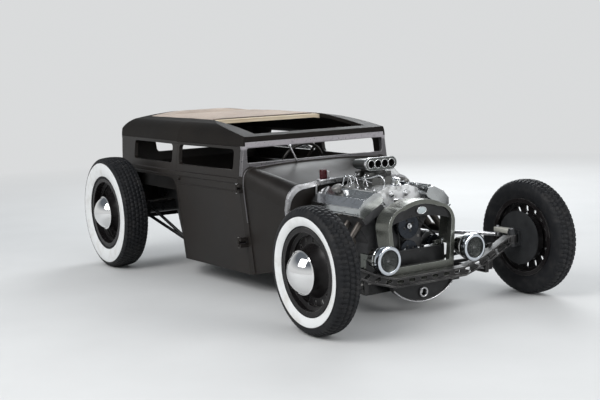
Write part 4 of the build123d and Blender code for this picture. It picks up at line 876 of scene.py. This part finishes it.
def make_fabric():
    """Canvas with its tacks in front, a hem and a welt along each edge."""
    rows = fabric_rows()
    obj = piece("roof_canvas", ring_mesh("roof_canvas", rows, closed=False, wrap=False), "canvas")
    solid = obj.modifiers.new("thickness", "SOLIDIFY")
    solid.thickness, solid.offset = 0.0024, -1
    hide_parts("roof_fabric")
    heads = bolts("roof_tacks", [(rows[-3][j], UP) for j in range(2, CLOTH_Y, 4)], "dull_steel",
        0.0034, 0.0026)
    # The hem is near-black rubber, a dark line along the fabric's front edge.
    pipe("roof_hem", [(x - 0.004, y, z + 0.0004) for x, y, z in rows[-1][1:-1:5]], 0.0042,
        "rubber")
    for label, line, dx, dy in (("right", [row[0] for row in rows[::6]], 0, 0.0012),
            ("left", [row[-1] for row in rows[::6]], 0, -0.0012),
            ("rear", rows[0][::6], 0.0012, 0)):
        pipe(f"roof_welt_{label}", [(x + dx, y + dy, z + 0.0018) for x, y, z in line], 0.0032,
            "rubber")


# ---- Seats: a trimmed shell with a padded cushion and back, each side

PAD_SWELL = 0.016  # the furthest that a point of a pad moves
PLEATS, SEAM_WIDTH, SEAM_DEPTH = 6, 0.0042, 0.0075


def swell(obj):
    """Blows a closed mesh up with a cloth simulation."""
    cloth = obj.modifiers.new("cloth", "CLOTH").settings
    cloth.use_pressure = True
    cloth.uniform_pressure_force = 4
    cloth.effector_weights.gravity = 0
    cloth.quality = 5
    for f in range(1, 21):
        scene.frame_set(f)
    graph = bpy.context.evaluated_depsgraph_get()
    blown = [v.co.copy() for v in obj.evaluated_get(graph).data.vertices]
    obj.modifiers.clear()
    scene.frame_set(1)
    for v, goal in zip(obj.data.vertices, blown):
        move = goal - v.co
        v.co += move * min(1, PAD_SWELL / max(move.length, 1e-9))


def pad(name, low, high, axis, lean=0.0):
    """Cushion sewn into pleats; axis is the way its face looks, lean moves its top back."""
    obj = block(name, low, high, "leather", 0.018)
    low, high = Vector(low), Vector(high)
    remesh = obj.modifiers.new("remesh", "REMESH")
    remesh.mode, remesh.voxel_size = "VOXEL", 0.0075
    graph = bpy.context.evaluated_depsgraph_get()
    mesh = bpy.data.meshes.new_from_object(obj.evaluated_get(graph))
    obj.modifiers.clear()
    obj.data = mesh
    swell(obj)
    pitch = (high.y - low.y) / PLEATS
    for v in mesh.vertices:
        depth = sum(exp(-((v.co.y - low.y - k * pitch) / SEAM_WIDTH) ** 2)
            for k in range(1, PLEATS))
        face = (v.co[axis] - low[axis]) / (high[axis] - low[axis])
        v.co[axis] -= SEAM_DEPTH * depth * min(max(face * 2 - 1, 0), 1)
        v.co.x -= lean * (v.co.z - low.z)
    for poly in mesh.polygons:
        poly.use_smooth = True
    finer = obj.modifiers.new("finer", "SUBSURF")
    finer.levels = finer.render_levels = 1
    return obj


def mirror_piece(obj, name):
    """Copy of a piece on the car's other side."""
    mesh = obj.data.copy()
    for v in mesh.vertices:
        v.co.y = -v.co.y
    mesh.flip_normals()
    twin = add_object(name, mesh, "chassis")
    for mod in obj.modifiers:
        made = twin.modifiers.new(mod.name, mod.type)
        made.levels = made.render_levels = mod.levels
    return twin


def make_seats():
    """Left seat's parts, their twins on the right, and a welt in front."""
    pads = [pad("seat_cushion_left", (-0.575, 0.166, 0.3), (-0.3, 0.428, 0.362), 2),
        pad("seat_back_left", (-0.65, 0.166, 0.36), (-0.606, 0.428, 0.676), 0, 0.085)]
    hard = [
        block("seat_base_left", (-0.686, 0.146, 0.2328), (-0.284, 0.448, 0.3), "leather", 0.014),
        block("seat_shell_left", (-0.687, 0.146, 0.29), (-0.668, 0.448, 0.7), "leather", 0.008)]
    for part in pads + hard:
        for obj in (part, mirror_piece(part, part.name.replace("left", "right"))):
            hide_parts("seats")
    for tag, side in SIDES:
        y0, y1, bend = side * 0.158, side * 0.436, side * 0.02
        pipe(f"seat_welt_{tag}", [(x, y, 0.305) for x, y in ((-0.58, y0), (-0.31, y0),
            (-0.292, y0), (-0.292, y0 + bend), (-0.292, y1 - bend), (-0.292, y1), (-0.31, y1),
            (-0.58, y1))], 0.004, "leather")


# ---- Cabin: dials, pedals, shift lever

DIAL_Z = 0.668


def dial_marks(i, y, r):
    """Nine plain ticks and a needle on dial number i, as flat faces."""
    marks, faces = [], []
    for k in range(9):
        a = radians(-130 + k * 32.5)
        corners = (r - 0.012, -0.03), (r - 0.012, 0.03), (r - 0.007, 0.03), (r - 0.007, -0.03)
        marks += [(0.2022, y + d * sin(a + turn), DIAL_Z + d * cos(a + turn))
            for d, turn in corners]
        faces.append(tuple(range(4 * k, 4 * k + 4)))
    n, a, tip, half = len(marks), radians(-40 + 35 * i), r - 0.009, 0.0012
    marks += [(0.2018, y + dy, DIAL_Z + dz) for dy, dz in ((half * cos(a), -half * sin(a)),
        (-half * cos(a), half * sin(a)), (tip * sin(a), tip * cos(a)))]
    faces.append((n, n + 1, n + 2))
    piece(f"dial_marks_{i}", make_mesh(f"dial_marks_{i}", marks, faces), "dial", smooth=False)


def dress_cabin():
    """Four dials in the dash, three pedals and the shift lever."""
    for i, (y, r) in enumerate(((0.345, 0.026), (0.278, 0.034), (0.205, 0.034), (0.138, 0.026))):
        at = (0.2045, y, DIAL_Z)
        lathe(f"dial_rim_{i}", [(r, -0.001), (r, 0.004), (r - 0.002, 0.006), (r - 0.005, 0.005),
            (r - 0.0055, 0.001)], at, BACKWARD, "chrome", 40)
        lathe(f"dial_face_{i}", [(r - 0.004, 0.002), (0.004, 0.002), (0.0038, 0.0045),
            (0.0001, 0.0045)], at, BACKWARD, "bakelite", 40)
        dial_marks(i, y, r)
    for i, (y, z, half) in enumerate(((0.225, 0.3, 0.018), (0.295, 0.34, 0.026),
            (0.362, 0.34, 0.026))):
        pipe(f"pedal_arm_{i}", [(0.566, y, 0.47), (0.54, y, 0.45), (0.515, y, z + 0.03),
            (0.512, y, z)], 0.006, "black")
        block(f"pedal_pad_{i}", (0.496, y - half, z - 0.03), (0.512, y + half, z + 0.03), "rubber",
            0.005)
    pipe("shift_lever", [(-0.05, 0, 0.422), (-0.055, 0, 0.47), (-0.085, 0.004, 0.53),
        (-0.09, 0.004, 0.6)], 0.0065, "chrome")
    lathe("shift_boot", [(0.046, -0.002), (0.046, 0.004), (0.034, 0.014), (0.03, 0.02),
        (0.022, 0.028), (0.018, 0.036), (0.007, 0.044)], (-0.05, 0, 0.4255), UP, "rubber")
    lathe("shift_knob", [(0.007, -0.004), (0.013, 0.0), (0.019, 0.01), (0.02, 0.018),
        (0.015, 0.029), (0.0001, 0.034)], (-0.09, 0.004, 0.598), UP, "bakelite")


# ---- Outside trim

def trim_doors():
    """Moulding along each door."""
    for tag, side in SIDES:
        meet = surface(f"door_{tag}")
        line = [meet((-0.578 + 0.0751 * i, side, 0.645), (0, -side, 0)) for i in range(11)]
        pipe(f"door_mould_{tag}", [tuple(p) for p in line], 0.0046, "body", f"door_{tag}")


def trim_header():
    """Strip over the seam between windshield frame and roof, its edges sunk in."""
    meet = surface("windshield_frame", "roof_shell")
    heights = ((0.9165, -0.001), (0.9175, 0.0016), (0.933, 0.0016), (0.9495, 0.0016),
        (0.9505, -0.001))
    rows = [[(meet((0.6, y, z), BACKWARD).x + proud, y, z) for z, proud in heights]
        for y in (-0.532 + 1.064 * i / 56 for i in range(57))]
    ring_piece("header_strip", rows, "frame_metal", closed=False, wrap=False)


def trim_cowl():
    """Bead round the cowl's rear edge, laid where rays from outside meet it."""
    meet = surface("cowl")
    line = []
    for k in range(45):
        a = radians(-84 + 168 * k / 44)
        way = Vector((0, -sin(a), -cos(a) * 0.62)).normalized()
        hit = meet(Vector((0.2405, 0, 0.42)) - way * 1.4, way)
        if hit and abs(hit.y) < 0.62 and hit.z > 0.3:
            line.append(tuple(hit))
    pipe("cowl_bead", line, 0.0042, "frame_metal")


def dress_arm_and_wiper():
    """Pale arm on the left knuckle with its nut, and the wiper."""
    block("steering_arm_left", (1.19, 0.619, 0.3738), (1.316, 0.661, 0.4035), "pale_arm", 0.006,
        "knuckle_left")
    bolts("steering_arm_nut", [((1.206, 0.64, 0.4035), UP)], "steel", 0.009, 0.01, "knuckle_left")
    pipe("wiper_arm", [(0.243, -0.214, 0.907), (0.246, -0.2, 0.875), (0.2495, -0.186, 0.845),
        (0.2505, -0.172, 0.815)], 0.0048, "steel")
    lathe("wiper_pivot", [(0.0095, -0.014), (0.0105, -0.012), (0.0105, 0.002), (0.007, 0.005),
        (0.0001, 0.006)], (0.242, -0.214, 0.91), FORWARD, "polished", 32)
    block("wiper_blade", (0.2445, -0.176, 0.755), (0.252, -0.168, 0.822), "rubber", 0.002)


def trim_hinges_and_tail():
    """Caps on the door hinge pins, and a round tail lamp, each side."""
    tail = surface("rear_panel")
    for tag, side in SIDES:
        # The lower caps take the darker dull steel as painted shade; the upper ones bright steel.
        for level, z, length, look in (("upper", 0.668, 0.054, "steel"),
                ("lower", 0.33, 0.06, "dull_steel")):
            for end, way in (("foot", -1), ("top", 1)):
                lathe(f"hinge_cap_{tag}_{level}_{end}", [(0.0062, -0.002), (0.0068, 0.0),
                    (0.006, 0.003), (0.003, 0.0045), (0.0001, 0.0048)],
                    (0.196, side * 0.587, z + way * length / 2), (0, 0, way), look, 32)
        spot = tail((-2, side * 0.385, 0.6), FORWARD)
        lathe(f"tail_lamp_rim_{tag}", [(0.036, -0.016), (0.038, 0.0), (0.038, 0.016),
            (0.035, 0.021), (0.031, 0.02)], spot, BACKWARD, "chrome", 56)
        lathe(f"tail_lamp_{tag}", [(0.0325, 0.012), (0.0318, 0.02), (0.024, 0.028), (0.012, 0.032),
            (0.0001, 0.033)], spot, BACKWARD, "red")


def dress_running_gear():
    """Bolts of the spring clamps and radius rods, and the kingpins' caps."""
    bolts("spring_clamps", [((1.213 + dx, dy, 0.207), UP) for dx in (-0.016, 0.016)
        for dy in (-0.05, 0.05)], "dull_steel", 0.006, 0.01)
    bolts("rod_bolts", [((x, side * 0.392, 0.172), (0, side, 0))
        for x in (0.82, -0.905) for _, side in SIDES], "dull_steel", 0.011, 0.011)
    for (tag, side), z in zip(SIDES, (0.403, 0.391)):
        bolts(f"kingpin_caps_{tag}", [((1.326, side * 0.64, z), UP)], "steel", 0.011, 0.007,
            f"knuckle_{tag}")


# ---- Stage, light and camera

PALE = (0.7, 0.71, 0.715)  # floor and background as the camera sees them
SKY = (0.13, 0.145, 0.165)  # what gloss mirrors from high up


def seen_rays(tree):
    """1 for rays from the camera, off gloss or through glass."""
    path = add_node(tree, "LightPath").outputs
    seen = path["Is Camera Ray"]
    for kind in ("Is Glossy Ray", "Is Transmission Ray"):
        seen = add_node(tree, "Math", {0: seen, 1: path[kind]}, operation="MAXIMUM").outputs[0]
    return seen


def make_floor():
    """Pale floor that runs out into a background of the same colour."""
    s = 60
    mesh = make_mesh("floor", [(-s, -s, 0), (s, -s, 0), (s, s, 0), (-s, s, 0)], [(0, 1, 2, 3)])
    obj = new_object("floor_stage", mesh)
    look = Look("pale_floor", (0.56, 0.56, 0.555), 0.8)
    look.paint(look.ramp(look.noise(1.5), 0.3, 0.7), (0.57, 0.57, 0.565), (0.54, 0.54, 0.535))
    far = look.node("VectorMath", {0: look.coords}, operation="LENGTH").outputs["Value"]
    fade = look.math("MULTIPLY", look.ramp(far, 3.5, 9.0), seen_rays(look.tree))
    glow = look.node("Emission", {"Color": (*PALE, 1)})
    both = look.node("MixShader", {0: fade, 1: look.shader.outputs[0], 2: glow.outputs[0]})
    look.tree.links.new(both.outputs[0], look.tree.nodes["Material Output"].inputs["Surface"])
    mesh.materials.append(look.mat)


def make_world():
    """Even light, and a pale background that darkens upwards."""
    world = bpy.data.worlds.new("studio")
    world.use_nodes = True
    tree = world.node_tree
    light = tree.nodes["Background"]
    light.inputs["Color"].default_value = (0.82, 0.86, 0.9, 1)
    light.inputs["Strength"].default_value = 0.75
    way = add_node(tree, "TexCoord").outputs["Generated"]
    height = add_node(tree, "SeparateXYZ", {0: way}).outputs["Z"]
    lift = add_node(tree, "MapRange", {"Value": height, "From Min": 0.16, "From Max": 0.6})
    color = mix_colors(tree, lift.outputs["Result"], PALE, SKY)
    pale = add_node(tree, "Background", {"Color": color})
    mixed = add_node(tree, "MixShader", {0: seen_rays(tree), 1: light.outputs[0],
        2: pale.outputs[0]})
    tree.links.new(mixed.outputs[0], tree.nodes["World Output"].inputs["Surface"])
    scene.world = world


def area_light(name, place, target, size, power, color=(1, 1, 1)):
    light = bpy.data.lights.new(name, "AREA")
    light.energy, light.size, light.color = power, size, color
    obj = new_object(name, light)
    obj.location = place
    obj.rotation_euler = (Vector(target) - Vector(place)).to_track_quat("-Z", "Y").to_euler()


def set_camera(place, yaw, pitch, roll, lens):
    """Camera as solved from the photograph, angles in radians and lens in mm."""
    forward = Vector((-sin(yaw) * cos(pitch), cos(yaw) * cos(pitch), -sin(pitch)))
    level = forward.cross(Vector(UP)).normalized()
    upright = level.cross(forward)
    right = level * cos(roll) + upright * sin(roll)
    up = upright * cos(roll) - level * sin(roll)
    data = bpy.data.cameras.new("camera")
    data.lens, data.sensor_width, data.clip_end = lens, 36, 200
    scene.camera = new_object("camera", data)
    turned = Matrix((right, up, -forward)).transposed().to_4x4()
    scene.camera.matrix_world = Matrix.Translation(place) @ turned


dress_nodes()
for axle in TYRES:
    for tag, side in SIDES:
        make_tyre(axle, tag, side)
dress_front()
dress_lamps()
dress_crossmember()
dress_covers()
dress_carburettors()
dress_intake()
dress_scoop()
dress_block()
dress_firewall()
make_fabric()
make_seats()
dress_cabin()
trim_doors()
trim_header()
trim_cowl()
dress_arm_and_wiper()
trim_hinges_and_tail()
dress_running_gear()
make_floor()
make_world()
area_light("key", (1.5, -5.5, 5.0), (0, 0, 0.5), 4.0, 330)
area_light("back", (-4.5, 5.0, 4.5), (0, 0, 0.6), 5.0, 420, (0.95, 0.98, 1))
area_light("front", (6.5, 2.0, 3.2), (0.8, 0, 0.4), 3.0, 170)
set_camera((5.917, -3.794, 1.445), yaw=1.00029, pitch=0.1309, roll=-0.03544, lens=64.017)
scene.view_settings.view_transform = "Standard"
